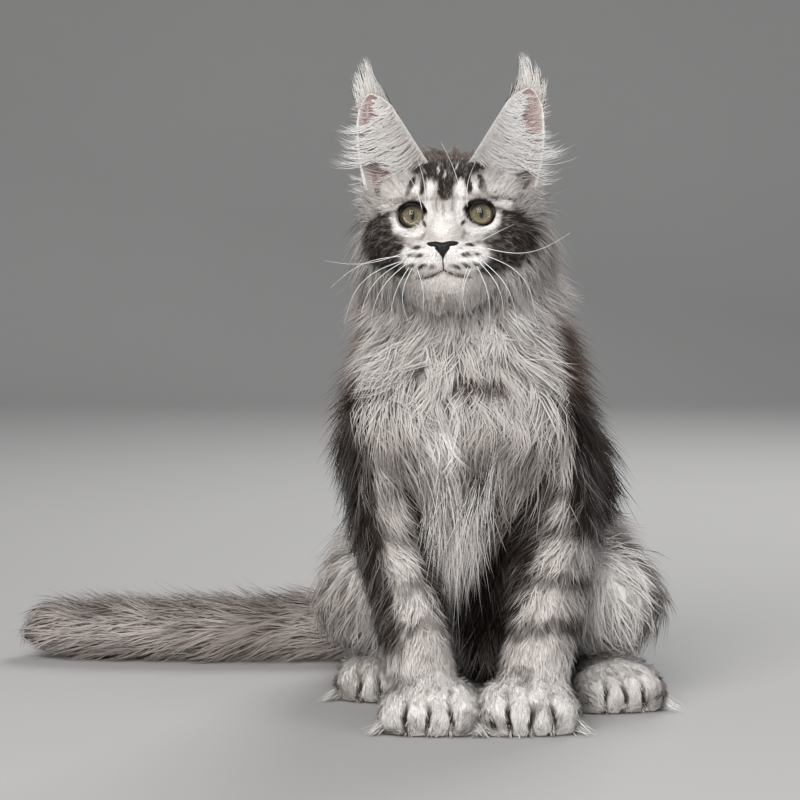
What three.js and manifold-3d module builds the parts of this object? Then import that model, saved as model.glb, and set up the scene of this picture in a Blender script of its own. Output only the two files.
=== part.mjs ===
// A Maine Coon kitten of about five months, sitting upright with its tail laid out to its right.
// Life size in millimetres, +Z up. It faces -Y and its left side is +X.
// The origin is on the floor under the middle of the seat.
import * as THREE from "three";
import { mergeVertices } from "three/addons/utils/BufferGeometryUtils.js";
import Module from "manifold-3d";

const wasm = await Module();
wasm.setup();

// Driving dimensions of the body under the coat
const EYE_MIDDLE = [-25.6, -147.5, 306.0]; // midway between the eyeballs' centres
const HEAD_YAW = THREE.MathUtils.degToRad(-7.0); // the nose turns towards the cat's right
const HEAD_PITCH = THREE.MathUtils.degToRad(-3.0); // the nose lifts
const HEAD_ROLL = THREE.MathUtils.degToRad(-1.8);
const EYE_SPACING = 40.2;
const EYEBALL_RADIUS = 10.35;
const EYE_OPENING_RADIUS = 8.3;
const LID_THICKNESS = 1.5;
const CHEST_HEIGHT = 162;
const CHEST_MIDDLE_X = -13;
const SHOULDER_OFFSET = 36;
const SEAT_HEIGHT = 58;
const SEAT_RADIUS = 54;
const WAIST_RADIUS = 53;
const CHEST_RADIUS = 43;
const ELBOW_HEIGHT = 110;
const WRIST_HEIGHT = 36;
const PAW_HEIGHT = 14;
const TOE_RADIUS = 8.2;
const KNEE_HEIGHT = 64;
const HOCK_HEIGHT = 17;
const TAIL_HEIGHT = 20;

// How the solids are made
const GAP = 0.3; // between nodes that touch
const CORE_SHARE = 0.45; // the core reaches this share of the way to the coat's tips
const COAT_BLEND = 9; // distance over which coat length and lie pass from one part to the next
const FAT = 0.45; // growth of a solid that clears room for itself in its neighbours
const COARSE_FAT = 0.5; // more of it for a coarsely meshed core
const ROOM_FAT = 0.4; // and how far a neighbour's room is grown, a little more than the gap
const MERGE = 1e-3; // points nearer than this are one
const GRID_SHIFTS = [0, -0.23, -0.41, -0.12, -0.33]; // in cells
const SLIVER_TOLERANCES = [0.15, 0.1, 0.06, 0.03, 0.01];
const MOST_OVERLAP = 0.005; // cubic millimetres, as rounding leaves

const v3 = (x, y, z) => new THREE.Vector3(x, y, z);

// A point of the head's own frame, x to the cat's left, y backwards, z up, placed in the part's frame.
const headTurn = new THREE.Matrix4()
  .makeRotationZ(HEAD_YAW)
  .multiply(new THREE.Matrix4().makeRotationY(HEAD_ROLL))
  .multiply(new THREE.Matrix4().makeRotationX(HEAD_PITCH));
const headPlace = new THREE.Matrix4().makeTranslation(...EYE_MIDDLE).multiply(headTurn);
const onHead = (x, y, z) => v3(x, y, z).applyMatrix4(headPlace);

// The body

// The flesh is a set of soft forms. Each form belongs to a group, and knows the coat that grows on it:
// its length in millimetres, and its lie, the way the hair points.
const forms = [];

// An egg with half-axes along x, y and z, or along the head's own axes when it belongs to the head.
function egg(group, centre, radii, coat, lie) {
  const turn = group === "head" || group === "jaw" ? headTurn.clone().transpose() : null;
  forms.push({ group, centre, radii: v3(...radii), turn, coat, lie });
}

// A limb with round ends, from a to b, with a radius and a coat length at each end.
function limb(group, a, b, radiusA, radiusB, coatA, coatB, lie) {
  const along = b.clone().sub(a);
  forms.push({ group, a, along, span: along.lengthSq(), radiusA, radiusB, coat: coatA, coatB, lie });
}

const DOWN = v3(0, 0.15, -1);
const sides = [
  { name: "left", s: 1 },
  { name: "right", s: -1 },
];

function headForms() {
  const lie = null; // on the head the hair runs away from the nose
  egg("head", onHead(0, 28, 6.5), [34, 37, 26.5], 8, lie);
  egg("head", onHead(0, 3, 4), [16, 12, 12], 3, lie);
  limb("head", onHead(0, 5, 5), onHead(0, -19, -12.5), 10, 7.5, 2, 2, lie);
  egg("head", onHead(0, -8, -23), [22, 19, 14], 3, lie);
  egg("head", onHead(0, -26.5, -19.5), [7.2, 6, 5.2], 1, lie);
  egg("jaw", onHead(0, -12, -40.5), [15, 12.5, 10.5], 4, DOWN);
  limb("jaw", onHead(0, -2, -36), onHead(0, 20, -38), 12, 17, 8, 18, DOWN);
  for (const { s } of sides) {
    limb("head", onHead(11 * s, 2, 12), onHead(25 * s, 7, 8), 7.5, 8.5, 3, 5, lie);
    egg("head", onHead(25 * s, 15, -9), [14, 19, 15], 16, lie);
    egg("head", onHead(25 * s, 25, -17), [17, 21, 20], 34, lie);
    egg("head", onHead(28 * s, 23, 10), [13, 17, 14], 16, lie);
    limb("head", onHead(13 * s, -6, -18), onHead(26 * s, 11, -14), 11, 13, 3, 8, lie);
    limb("head", onHead(14 * s, -2, -30), onHead(24 * s, 16, -25), 11, 13, 5, 16, lie);
    egg("head", onHead(11.2 * s, -16.2, -26.2), [14.2, 13.2, 10.6], 2.5, lie);
    limb("jaw", onHead(18 * s, 8, -32), onHead(7 * s, -10, -40), 12, 10, 12, 5, DOWN);
  }
}

function trunkForms() {
  const nape = onHead(0, 36, -12);
  const throat = v3(-15, -92, 234);
  const neckLie = v3(0, 0.05, -1);
  limb("neck", nape, throat, 35, 38, 34, 36, neckLie);
  limb("neck", throat, v3(CHEST_MIDDLE_X, -98, 182), 36, 41, 34, 34, neckLie);
  const withers = v3(CHEST_MIDDLE_X, -86, 188);
  const waist = v3(-2, -34, 122);
  const seat = v3(3, 10, SEAT_HEIGHT);
  const backLie = v3(0, 0.55, -0.85);
  limb("trunk", withers, waist, CHEST_RADIUS, WAIST_RADIUS, 28, 32, backLie);
  limb("trunk", waist, seat, WAIST_RADIUS, SEAT_RADIUS, 32, 26, backLie);
  egg("trunk", v3(CHEST_MIDDLE_X, -106, CHEST_HEIGHT), [36, 32, 48], 34, v3(0, -0.1, -1));
  egg("trunk", v3(3, -44, 132), [62, 50, 58], 32, v3(0, 0.4, -0.9));
  for (const { s } of sides) {
    const x = CHEST_MIDDLE_X + SHOULDER_OFFSET * s;
    egg("trunk", v3(x, -96, CHEST_HEIGHT + 4), [25, 36, 46], 24, v3(0.1 * s, 0.25, -1));
  }
}

// The joints of each leg, from the shoulder and the hip down to the toes.
const legs = {
  left: {
    s: 1,
    shoulder: v3(29, -102, 158),
    elbow: v3(42, -116, ELBOW_HEIGHT),
    wrist: v3(28, -154, WRIST_HEIGHT),
    paw: v3(21, -167, PAW_HEIGHT),
    knee: v3(76, -72, KNEE_HEIGHT),
    hock: v3(58, 2, HOCK_HEIGHT),
    toes: v3(80, -104, 10.5),
  },
  right: {
    s: -1,
    shoulder: v3(-54, -102, 158),
    elbow: v3(-56, -116, ELBOW_HEIGHT),
    wrist: v3(-43, -154, WRIST_HEIGHT),
    paw: v3(-35, -167, PAW_HEIGHT),
    knee: v3(-70, -68, KNEE_HEIGHT),
    hock: v3(-52, 18, HOCK_HEIGHT),
    toes: v3(-64, -72, 10.5),
  },
};

// Four toes side by side in front of a paw, the middle two reaching furthest.
function toeForms(group, paw, forward, spread, reach) {
  const across = v3(-forward.y, forward.x, 0);
  const lie = forward.clone().setZ(-0.35);
  for (const place of [-1.5, -0.5, 0.5, 1.5]) {
    const knuckle = paw.clone().addScaledVector(across, place * spread * 0.85).add(v3(0, 0, 2.5));
    const length = reach - 2.2 * (Math.abs(place) - 0.5);
    const tip = paw.clone().addScaledVector(across, place * spread).addScaledVector(forward, length);
    tip.z = TOE_RADIUS + 1;
    limb(group, knuckle, tip, TOE_RADIUS, TOE_RADIUS, 4, 4, lie);
  }
}

function foreLegForms() {
  for (const { name, s } of sides) {
    const leg = legs[name];
    const group = "fore_" + name;
    const lie = v3(0.12 * s, 0.25, -1);
    limb(group, leg.shoulder, leg.elbow, 26, 20, 18, 14, lie);
    limb(group, leg.elbow, leg.wrist, 19, 13.5, 12, 8, lie);
    limb(group, leg.wrist, leg.paw, 14.5, 15, 6, 4, v3(0, -0.7, -0.8));
    egg(group, leg.paw.clone().add(v3(0, -2, -1)), [24, 20, 13.5], 4, v3(0, -0.9, -0.4));
    toeForms(group, leg.paw, v3(0.1 * s, -1, 0).normalize(), 12.2, 16);
  }
}

function hindLegForms() {
  for (const { name, s } of sides) {
    const leg = legs[name];
    const group = "hind_" + name;
    const thighLie = v3(0.35 * s, 0.25, -0.9);
    const forward = leg.toes.clone().sub(leg.hock).setZ(0).normalize();
    limb(group, v3(34 * s, 20, 80), leg.knee, 36, 24, 26, 20, thighLie);
    egg(group, v3(50 * s, -14, 54), [27, 50, 44], 26, thighLie);
    limb(group, leg.knee, leg.hock, 22, 14, 20, 12, thighLie);
    limb(group, leg.hock, leg.toes.clone().add(v3(0, 14, 2)), 13, 12, 8, 5, forward);
    egg(group, leg.toes.clone().add(v3(0, 8, 0)), [23, 20, 11.5], 4, forward);
    toeForms(group, leg.toes, forward, 11.6, 12);
  }
}

// The tail leaves the rump, turns to the cat's right and runs along the floor.
const TAIL_LINE = [
  [0, 44, 34],
  [-40, 68, 23],
  [-105, 68, TAIL_HEIGHT],
  [-180, 64, TAIL_HEIGHT],
  [-240, 66, TAIL_HEIGHT],
  [-292, 72, TAIL_HEIGHT],
].map((p) => v3(...p));
const TAIL_RADII = [17, 14, 11.5, 10, 8.5, 6];

function tailForms() {
  for (let i = 0; i + 1 < TAIL_LINE.length; i += 1) {
    const lie = TAIL_LINE[i + 1].clone().sub(TAIL_LINE[i]).normalize();
    limb("tail", TAIL_LINE[i], TAIL_LINE[i + 1], TAIL_RADII[i], TAIL_RADII[i + 1], 20, 22, lie);
  }
}

headForms();
trunkForms();
foreLegForms();
hindLegForms();
tailForms();

// How softly the forms of a group run into each other, and each group into the trunk
const GROUP_BLEND = {
  head: 7,
  jaw: 6,
  neck: 16,
  trunk: 20,
  fore_left: 6,
  fore_right: 6,
  hind_left: 9,
  hind_right: 9,
  tail: 8,
};
const LIMB_BLEND = { fore_left: 14, fore_right: 14, hind_left: 14, hind_right: 14, tail: 12 };

function softMin(a, b, k) {
  const h = Math.max(k - Math.abs(a - b), 0) / k;
  return Math.min(a, b) - h * h * k * 0.25;
}

const scratch = new THREE.Vector3();

// Distance from p to a form's skin, and how far along a limb the nearest point is.
function formDistance(form, p) {
  if (form.radii) {
    scratch.copy(p).sub(form.centre);
    if (form.turn) scratch.applyMatrix4(form.turn);
    const { x, y, z } = scratch;
    const r = form.radii;
    const near = Math.hypot(x / r.x, y / r.y, z / r.z);
    const steep = Math.hypot(x / (r.x * r.x), y / (r.y * r.y), z / (r.z * r.z)) + 1e-9;
    form.at = 0;
    return (near * (near - 1)) / steep;
  }
  scratch.copy(p).sub(form.a);
  const t = THREE.MathUtils.clamp(scratch.dot(form.along) / form.span, 0, 1);
  form.at = t;
  const radius = form.radiusA + (form.radiusB - form.radiusA) * t;
  return scratch.addScaledVector(form.along, -t).length() - radius;
}

const noseTip = onHead(0, -36, -19);
const lieSum = new THREE.Vector3();

// What is at p: the distance to the skin, the coat's length there and its lie. Some groups can be left out.
function bodyAt(p, without = []) {
  const group = {};
  let weights = 0;
  let coat = 0;
  lieSum.set(0, 0, 0);
  for (const form of forms) {
    if (without.includes(form.group)) continue;
    const d = formDistance(form, p);
    const known = group[form.group];
    group[form.group] = known === undefined ? d : softMin(known, d, GROUP_BLEND[form.group]);
    const w = Math.exp(-THREE.MathUtils.clamp(d, -30, 60) / COAT_BLEND);
    const length = form.coatB === undefined ? form.coat : form.coat + (form.coatB - form.coat) * form.at;
    weights += w;
    coat += w * length;
    if (form.lie) lieSum.addScaledVector(form.lie, w);
    else lieSum.addScaledVector(scratch.copy(p).sub(noseTip).normalize(), w);
  }
  let core = softMin(group.trunk, group.neck, 18);
  core = softMin(core, group.head, 14);
  if (group.jaw !== undefined) core = softMin(core, group.jaw, 5);
  let skin = core;
  for (const [name, blend] of Object.entries(LIMB_BLEND)) {
    if (group[name] !== undefined) skin = Math.min(skin, softMin(core, group[name], blend));
  }
  return { skin, coat: coat / weights, lie: lieSum.clone().normalize() };
}

// Distance to the core's surface: the skin with part of the coat's depth over it.
function coreDistance(p, without = []) {
  const at = bodyAt(p, without);
  return at.skin - CORE_SHARE * at.coat;
}

function gradient(distance, p) {
  const e = 0.7;
  const q = p.clone();
  const g = new THREE.Vector3();
  for (const axis of ["x", "y", "z"]) {
    q.copy(p)[axis] += e;
    const ahead = distance(q);
    q[axis] -= 2 * e;
    g[axis] = (ahead - distance(q)) / (2 * e);
  }
  return g;
}

// Moves p along the gradient until the distance there is the level.
function settle(distance, p, level, steps = 2) {
  for (let i = 0; i < steps; i += 1) {
    const g = gradient(distance, p);
    p.addScaledVector(g, (level - distance(p)) / Math.max(g.lengthSq(), 0.2));
  }
  return p;
}

// Solids

function geometryOf(points, triangles) {
  const g = new THREE.BufferGeometry();
  g.setAttribute("position", new THREE.Float32BufferAttribute(points, 3));
  g.setIndex(triangles);
  return g;
}

// A closed geometry as a solid.
function solidOf(geometry) {
  const bare = geometry.clone();
  bare.deleteAttribute("normal");
  bare.deleteAttribute("uv");
  const merged = mergeVertices(bare, 1e-4);
  return new wasm.Manifold(
    new wasm.Mesh({
      numProp: 3,
      vertProperties: merged.attributes.position.array,
      triVerts: new Uint32Array(merged.index.array),
    }),
  );
}

function rawGeometry(solid) {
  const mesh = solid.getMesh();
  const points = [];
  for (let i = 0; i < mesh.numVert; i += 1) {
    for (let k = 0; k < 3; k += 1) points.push(mesh.vertProperties[i * mesh.numProp + k]);
  }
  return geometryOf(points, Array.from(mesh.triVerts));
}

// The geometry with points that lie within a micrometre made one, if that leaves every edge in two faces.
function closedGeometry(solid) {
  const g = mergeVertices(rawGeometry(solid), MERGE);
  const index = g.index.array;
  const kept = [];
  const edges = new Map();
  for (let i = 0; i < index.length; i += 3) {
    const corners = [index[i], index[i + 1], index[i + 2]];
    if (new Set(corners).size < 3) continue;
    kept.push(...corners);
    for (let k = 0; k < 3; k += 1) {
      const key = corners[k] + ">" + corners[(k + 1) % 3];
      edges.set(key, (edges.get(key) ?? 0) + 1);
    }
  }
  for (const [key, count] of edges) {
    const [from, to] = key.split(">");
    if (count !== 1 || edges.get(to + ">" + from) !== 1) return null;
  }
  g.setIndex(kept);
  return g;
}

// A solid's geometry without slivers: edges shorter than a small tolerance are closed up, as far as that
// leaves it closed, and clear of the other solids.
function geometryFrom(solid, others = []) {
  for (const tolerance of SLIVER_TOLERANCES) {
    const g = closedGeometry(largest(solid.asOriginal().setTolerance(tolerance)));
    if (g && others.every((other) => commonVolume(solidOf(g), other) < MOST_OVERLAP)) return g;
  }
  return null;
}

function boxesMeet(a, b) {
  return [0, 1, 2].every((k) => a.min[k] < b.max[k] && b.min[k] < a.max[k]);
}

function commonVolume(a, b) {
  return boxesMeet(a.boundingBox(), b.boundingBox()) ? a.intersect(b).volume() : 0;
}

function largest(solid) {
  const pieces = solid.decompose().sort((a, b) => b.volume() - a.volume());
  return pieces[0];
}

// The zero surface of a distance over a grid of cells: one vertex in each cell that the surface crosses,
// moved onto the surface, and one quad round each grid edge that it crosses.
function netMesh(distance, low, high, cell) {
  const count = [0, 1, 2].map((k) => Math.ceil((high[k] - low[k]) / cell[k]) + 1);
  const [nx, ny, nz] = count;
  const index = (i, j, k) => i + nx * (j + ny * k);
  const place = (i, j, k) => v3(low[0] + i * cell[0], low[1] + j * cell[1], low[2] + k * cell[2]);
  const edge = (i, n) => i === 0 || i === n - 1;
  const value = new Float64Array(nx * ny * nz);
  for (let k = 0; k < nz; k += 1) {
    for (let j = 0; j < ny; j += 1) {
      for (let i = 0; i < nx; i += 1) {
        const d = distance(place(i, j, k));
        const rim = edge(i, nx) || edge(j, ny) || edge(k, nz);
        value[index(i, j, k)] = rim ? Math.max(d, 1) : d;
      }
    }
  }
  const corners = [0, 1, 2, 3, 4, 5, 6, 7].map((c) => [c & 1, (c >> 1) & 1, (c >> 2) & 1]);
  const points = [];
  const vertexOf = new Map();
  for (let k = 0; k + 1 < nz; k += 1) {
    for (let j = 0; j + 1 < ny; j += 1) {
      for (let i = 0; i + 1 < nx; i += 1) {
        const at = corners.map(([a, b, c]) => value[index(i + a, j + b, k + c)]);
        const inside = at.filter((d) => d < 0).length;
        if (inside === 0 || inside === 8) continue;
        const sum = new THREE.Vector3();
        let crossings = 0;
        for (let a = 0; a < 8; a += 1) {
          for (const bit of [1, 2, 4]) {
            const b = a | bit;
            if (b === a || at[a] < 0 === at[b] < 0) continue;
            const t = at[a] / (at[a] - at[b]);
            const from = place(i + corners[a][0], j + corners[a][1], k + corners[a][2]);
            const to = place(i + corners[b][0], j + corners[b][1], k + corners[b][2]);
            sum.add(from.lerp(to, t));
            crossings += 1;
          }
        }
        const p = sum.divideScalar(crossings);
        const rim = edge(i, nx - 1) || edge(j, ny - 1) || edge(k, nz - 1);
        if (!rim) settle(distance, p, 0, 1);
        vertexOf.set(index(i, j, k), points.length / 3);
        points.push(p.x, p.y, p.z);
      }
    }
  }
  const triangles = [];
  const axes = [
    [1, 0, 0],
    [0, 1, 0],
    [0, 0, 1],
  ];
  for (let k = 0; k + 1 < nz; k += 1) {
    for (let j = 0; j + 1 < ny; j += 1) {
      for (let i = 0; i + 1 < nx; i += 1) {
        const here = value[index(i, j, k)];
        for (let axis = 0; axis < 3; axis += 1) {
          const [a, b, c] = axes[axis];
          const there = value[index(i + a, j + b, k + c)];
          if (here < 0 === there < 0) continue;
          const u = axes[(axis + 1) % 3];
          const w = axes[(axis + 2) % 3];
          const quad = [
            [0, 0],
            [1, 0],
            [1, 1],
            [0, 1],
          ].map(([m, n]) => {
            const back = [0, 1, 2].map((axis) => m * u[axis] + n * w[axis]);
            return vertexOf.get(index(i - back[0], j - back[1], k - back[2]));
          });
          if (here >= 0) quad.reverse();
          triangles.push(quad[0], quad[1], quad[2], quad[0], quad[2], quad[3]);
        }
      }
    }
  }
  return geometryOf(points, triangles);
}

// A closed surface round a centre: rings about an axis, each point pushed out to where the form ends.
function ringMesh(distance, centre, axis, angles, sectors, farthest) {
  const turn = new THREE.Quaternion().setFromUnitVectors(v3(0, 0, 1), axis);
  const reach = (theta, phi) => {
    const way = v3(Math.sin(theta) * Math.cos(phi), Math.sin(theta) * Math.sin(phi), Math.cos(theta));
    way.applyQuaternion(turn);
    const at = (t) => distance(centre.clone().addScaledVector(way, t));
    let near = 0;
    let far = 2;
    while (far < farthest && at(far) < 0) {
      near = far;
      far += Math.max(0.4, -0.5 * at(far));
    }
    for (let i = 0; i < 12; i += 1) {
      const middle = (near + far) / 2;
      if (at(middle) < 0) near = middle;
      else far = middle;
    }
    return centre.clone().addScaledVector(way, Math.min(near, farthest));
  };
  const points = [...reach(0, 0).toArray()];
  for (const theta of angles) {
    for (let j = 0; j < sectors; j += 1) points.push(...reach(theta, (2 * Math.PI * j) / sectors).toArray());
  }
  points.push(...reach(Math.PI, 0).toArray());
  const last = points.length / 3 - 1;
  const triangles = [];
  for (let j = 0; j < sectors; j += 1) {
    const next = (j + 1) % sectors;
    triangles.push(0, 1 + j, 1 + next);
    for (let i = 0; i + 1 < angles.length; i += 1) {
      const a = 1 + i * sectors;
      const b = a + sectors;
      triangles.push(a + j, b + j, b + next, a + j, b + next, a + next);
    }
    const a = 1 + (angles.length - 1) * sectors;
    triangles.push(a + j, last, a + next);
  }
  return geometryOf(points, triangles);
}

// Rooms

// The body is parted by planes and boxes. Each node has a room; a later room gives way to the earlier ones.
const FAR = 420;
const LEG_TOP = 200;
const LEG_BACK = -64;
const CHEST_FLOOR = 95;
const LEG_SPLIT = 24;
const WRIST_CUT = 33;
const PAW_SPLIT = -6;
const ARM_BACK = -84;
const PAW_BACK = -118;
const PAW_OUTSIDE = 51.5;
const THIGH_SPLIT = 40;
const THIGH_TOP = 132;
const FOOT_TOP = 27;
const FOOT_BACK = -14;
const TAIL_CUTS = [-64, -128, -194, -252, -FAR];

// A box between two corners as a solid, grown on every side.
function boxSolid(low, high, grow = 0) {
  const size = high.map((h, k) => h - low[k] + 2 * grow);
  const g = new THREE.BoxGeometry(...size);
  g.translate(...high.map((h, k) => (h + low[k]) / 2));
  return solidOf(g);
}

// A very large block on one side of a plane, given by a point on the plane and the way into the block.
function halfSpace(point, inward, grow = 0) {
  const size = 1400;
  const g = new THREE.BoxGeometry(size, size, size);
  g.translate(0, 0, size / 2 - grow);
  g.applyQuaternion(new THREE.Quaternion().setFromUnitVectors(v3(0, 0, 1), inward));
  g.translate(point.x, point.y, point.z);
  return solidOf(g);
}

const headPlane = { point: onHead(0, 30, -27), up: v3(0, -0.69, 0.725).applyMatrix4(headTurn).normalize() };
const neckPlane = { point: v3(CHEST_MIDDLE_X, -95, 207), up: v3(0, -0.3, 0.954).normalize() };

// A box that reaches from a plane x = inner out past the side of the body.
function sideBox(s, inner, y, z, grow) {
  const x = s > 0 ? [inner, FAR] : [-FAR, inner];
  return boxSolid([x[0], y[0], z[0]], [x[1], y[1], z[1]], grow);
}

// The upright plane between the back of a forearm and the front of the thigh beside it.
function kneePlane(s) {
  return { point: v3(-2 + 62 * s, -101, 60), front: v3(0.42 * s, -0.9, 0).normalize() };
}

// Each room is a function of how much it is grown.
const rooms = new Map();
rooms.set("head", (grow) => halfSpace(headPlane.point, headPlane.up, grow));
rooms.set("neck", (grow) => halfSpace(neckPlane.point, neckPlane.up, grow));
for (const { name, s } of sides) {
  const plane = kneePlane(s);
  const front = (grow) => halfSpace(plane.point, plane.front, grow);
  const legX = CHEST_MIDDLE_X + LEG_SPLIT * s;
  const paw = (grow) => {
    const x = s > 0 ? [PAW_SPLIT, PAW_OUTSIDE] : [-FAR, PAW_SPLIT];
    return boxSolid([x[0], -FAR, -FAR], [x[1], PAW_BACK, WRIST_CUT], grow).intersect(front(grow));
  };
  rooms.set("forepaw_" + name, paw);
  const armHeights = [WRIST_CUT, CHEST_FLOOR];
  const arm = (grow) => sideBox(s, PAW_SPLIT, [-FAR, ARM_BACK], armHeights, grow).intersect(front(grow));
  rooms.set("forearm_" + name, arm);
  rooms.set("shoulder_" + name, (grow) => sideBox(s, legX, [-FAR, LEG_BACK], [CHEST_FLOOR, LEG_TOP], grow));
  const footRoom = (grow) => sideBox(s, THIGH_SPLIT * s, [-FAR, FOOT_BACK], [-FAR, FOOT_TOP], grow);
  rooms.set("hind_foot_" + name, footRoom);
}
for (let i = 0; i < 4; i += 1) {
  rooms.set("tail_" + (i + 1), (grow) => boxSolid([TAIL_CUTS[i + 1], 42, -9], [TAIL_CUTS[i], FAR, 58], grow));
}
for (const { name, s } of sides) {
  rooms.set("thigh_" + name, (grow) => sideBox(s, THIGH_SPLIT * s, [-110, FAR], [-FAR, THIGH_TOP], grow));
}
rooms.set("torso", (grow) => boxSolid([-FAR, -FAR, -9], [FAR, FAR, FAR], grow));

// A node's own room, clear of the rooms before it, grown by less than the gap.
function roomOf(name, grow) {
  let room = rooms.get(name)(grow);
  for (const [other, shape] of rooms) {
    if (other === name) break;
    room = room.subtract(shape(GAP - grow));
  }
  return room;
}

const floorSide = halfSpace(v3(0, 0, 0), v3(0, 0, 1));

// Where each kind of node lies, and the size of the cells it is meshed in
const GRIDS = {
  neck: { low: [-86, -165, 170], high: [58, -20, 330], cell: [17, 17, 17] },
  torso: { low: [-116, -165, -6], high: [116, 104, 236], cell: [23, 23, 23] },
  shoulder_left: { low: [4, -165, 88], high: [96, -56, 206], cell: [18, 18, 18] },
  shoulder_right: { low: [-112, -165, 88], high: [-30, -56, 206], cell: [18, 18, 18] },
  forearm_left: { low: [-12, -192, 28], high: [90, -80, 100], cell: [10.5, 10.5, 14] },
  forearm_right: { low: [-104, -192, 28], high: [0, -80, 100], cell: [10.5, 10.5, 14] },
  forepaw_left: { low: [-12, -208, -3], high: [66, -116, 38], cell: [8.2, 8.2, 7.6] },
  forepaw_right: { low: [-80, -208, -3], high: [0, -116, 38], cell: [8.2, 8.2, 7.6] },
  hind_foot_left: { low: [34, -140, -3], high: [126, -8, 32], cell: [10.5, 10.5, 8] },
  hind_foot_right: { low: [-112, -118, -3], high: [-34, -8, 32], cell: [10.5, 10.5, 8] },
  thigh_left: { low: [34, -116, -6], high: [130, 90, 140], cell: [19.5, 19.5, 19.5] },
  thigh_right: { low: [-126, -116, -6], high: [-34, 90, 140], cell: [19.5, 19.5, 19.5] },
  tail_1: { low: [-134, 36, -4], high: [-58, 116, 62], cell: [20, 11, 11] },
  tail_2: { low: [-200, 36, -4], high: [-122, 116, 62], cell: [20, 11, 11] },
  tail_3: { low: [-258, 36, -4], high: [-188, 116, 62], cell: [20, 11, 11] },
  tail_4: { low: [-344, 36, -4], high: [-246, 116, 62], cell: [20, 11, 11] },
};

// A leg's nodes are shaped without the other legs, which a room's plane keeps apart from them.
function hiddenFrom(name) {
  const legGroups = Object.keys(LIMB_BLEND).filter((g) => g !== "tail");
  const side = name.split("_").at(-1);
  if (/^(shoulder|forearm|forepaw)_/.test(name)) return legGroups.filter((g) => g !== "fore_" + side);
  if (/^(thigh|hind_foot)_/.test(name)) return legGroups.filter((g) => g !== "hind_" + side);
  return [];
}

// A node's share of the body. A grid that meets the form badly is shifted by part of a cell.
function bodyCore(name) {
  const { low, high, cell } = GRIDS[name];
  const distance = (p) => coreDistance(p, hiddenFrom(name));
  for (const shift of GRID_SHIFTS) {
    const from = low.map((x, k) => x + shift * cell[k]);
    const whole = solidOf(netMesh(distance, from, high, cell)).intersect(floorSide);
    const solid = whole.intersect(roomOf(name, 0));
    if (!geometryFrom(solid)) continue;
    const fatDistance = (p) => distance(p) - FAT - COARSE_FAT;
    const fat = solidOf(netMesh(fatDistance, from, high, cell)).intersect(roomOf(name, ROOM_FAT));
    return { core: largest(solid), fat };
  }
  throw new Error(name + " doesn't close");
}

// The head

// It is made in rings about a line through the nose, close together on the face.
const FACE_RING = 4.4;
const FACE_RINGS = 18;
const BACK_RING = 11;
const HEAD_SECTORS = 32;
const HEAD_CENTRE = [0, 13, -9];

function headRings() {
  const angles = [];
  for (let i = 1; i <= FACE_RINGS; i += 1) angles.push(FACE_RING * i);
  while (angles.at(-1) + BACK_RING < 178) angles.push(angles.at(-1) + BACK_RING);
  return angles.map(THREE.MathUtils.degToRad);
}

function eyeAxis(s) {
  return v3(0.12 * s, -1, 0.03).normalize().applyMatrix4(headTurn);
}

function eyeCentre(s) {
  return onHead((EYE_SPACING / 2) * s, 0, 0);
}

function eyeballSolid(s, radius) {
  const g = new THREE.IcosahedronGeometry(radius, 2);
  const c = eyeCentre(s);
  return solidOf(g.translate(c.x, c.y, c.z));
}

// The lids: a ring cut from a ball a little larger than the eyeball, open in front.
function lidSolid(s) {
  const outer = EYEBALL_RADIUS + GAP + LID_THICKNESS;
  const inner = EYEBALL_RADIUS - 1;
  const from = Math.asin(EYE_OPENING_RADIUS / outer);
  const profile = [];
  const steps = 3;
  for (let i = 0; i <= steps; i += 1) {
    const a = from + ((1.75 - from) * i) / steps;
    profile.push(new THREE.Vector2(outer * Math.sin(a), outer * Math.cos(a)));
  }
  for (let i = steps; i >= 0; i -= 1) {
    const a = from + ((1.75 - from) * i) / steps;
    profile.push(new THREE.Vector2(inner * Math.sin(a), inner * Math.cos(a)));
  }
  profile.push(profile[0].clone());
  profile.reverse();
  const g = new THREE.LatheGeometry(profile, 14);
  g.applyQuaternion(new THREE.Quaternion().setFromUnitVectors(v3(0, 1, 0), eyeAxis(s)));
  const c = eyeCentre(s);
  return solidOf(g.translate(c.x, c.y, c.z));
}

// The room in front of the eyeball that the lids leave open.
function eyeOpening(s) {
  const g = new THREE.CylinderGeometry(EYE_OPENING_RADIUS + 3, EYE_OPENING_RADIUS - 1.5, 16, 18);
  g.translate(0, 8 + 6, 0);
  g.applyQuaternion(new THREE.Quaternion().setFromUnitVectors(v3(0, 1, 0), eyeAxis(s)));
  const c = eyeCentre(s);
  return solidOf(g.translate(c.x, c.y, c.z));
}

function headRound(grow) {
  const distance = (p) => coreDistance(p, ["jaw"]) - grow;
  const axis = v3(0, -1, -0.22).normalize().applyMatrix4(headTurn);
  const g = ringMesh(distance, onHead(...HEAD_CENTRE), axis, headRings(), HEAD_SECTORS, 80);
  return solidOf(g).intersect(halfSpace(headPlane.point, headPlane.up, grow));
}

// Where a ray from the middle of the head, towards a point given on the head, leaves the face.
function onFace(x, y, z, over) {
  const from = onHead(...HEAD_CENTRE);
  const way = onHead(x, y, z).sub(from).normalize();
  const p = from.clone();
  for (let i = 0; i < 40; i += 1) p.addScaledVector(way, -0.8 * coreDistance(p, ["jaw"]));
  return p.addScaledVector(way, over);
}

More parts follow.
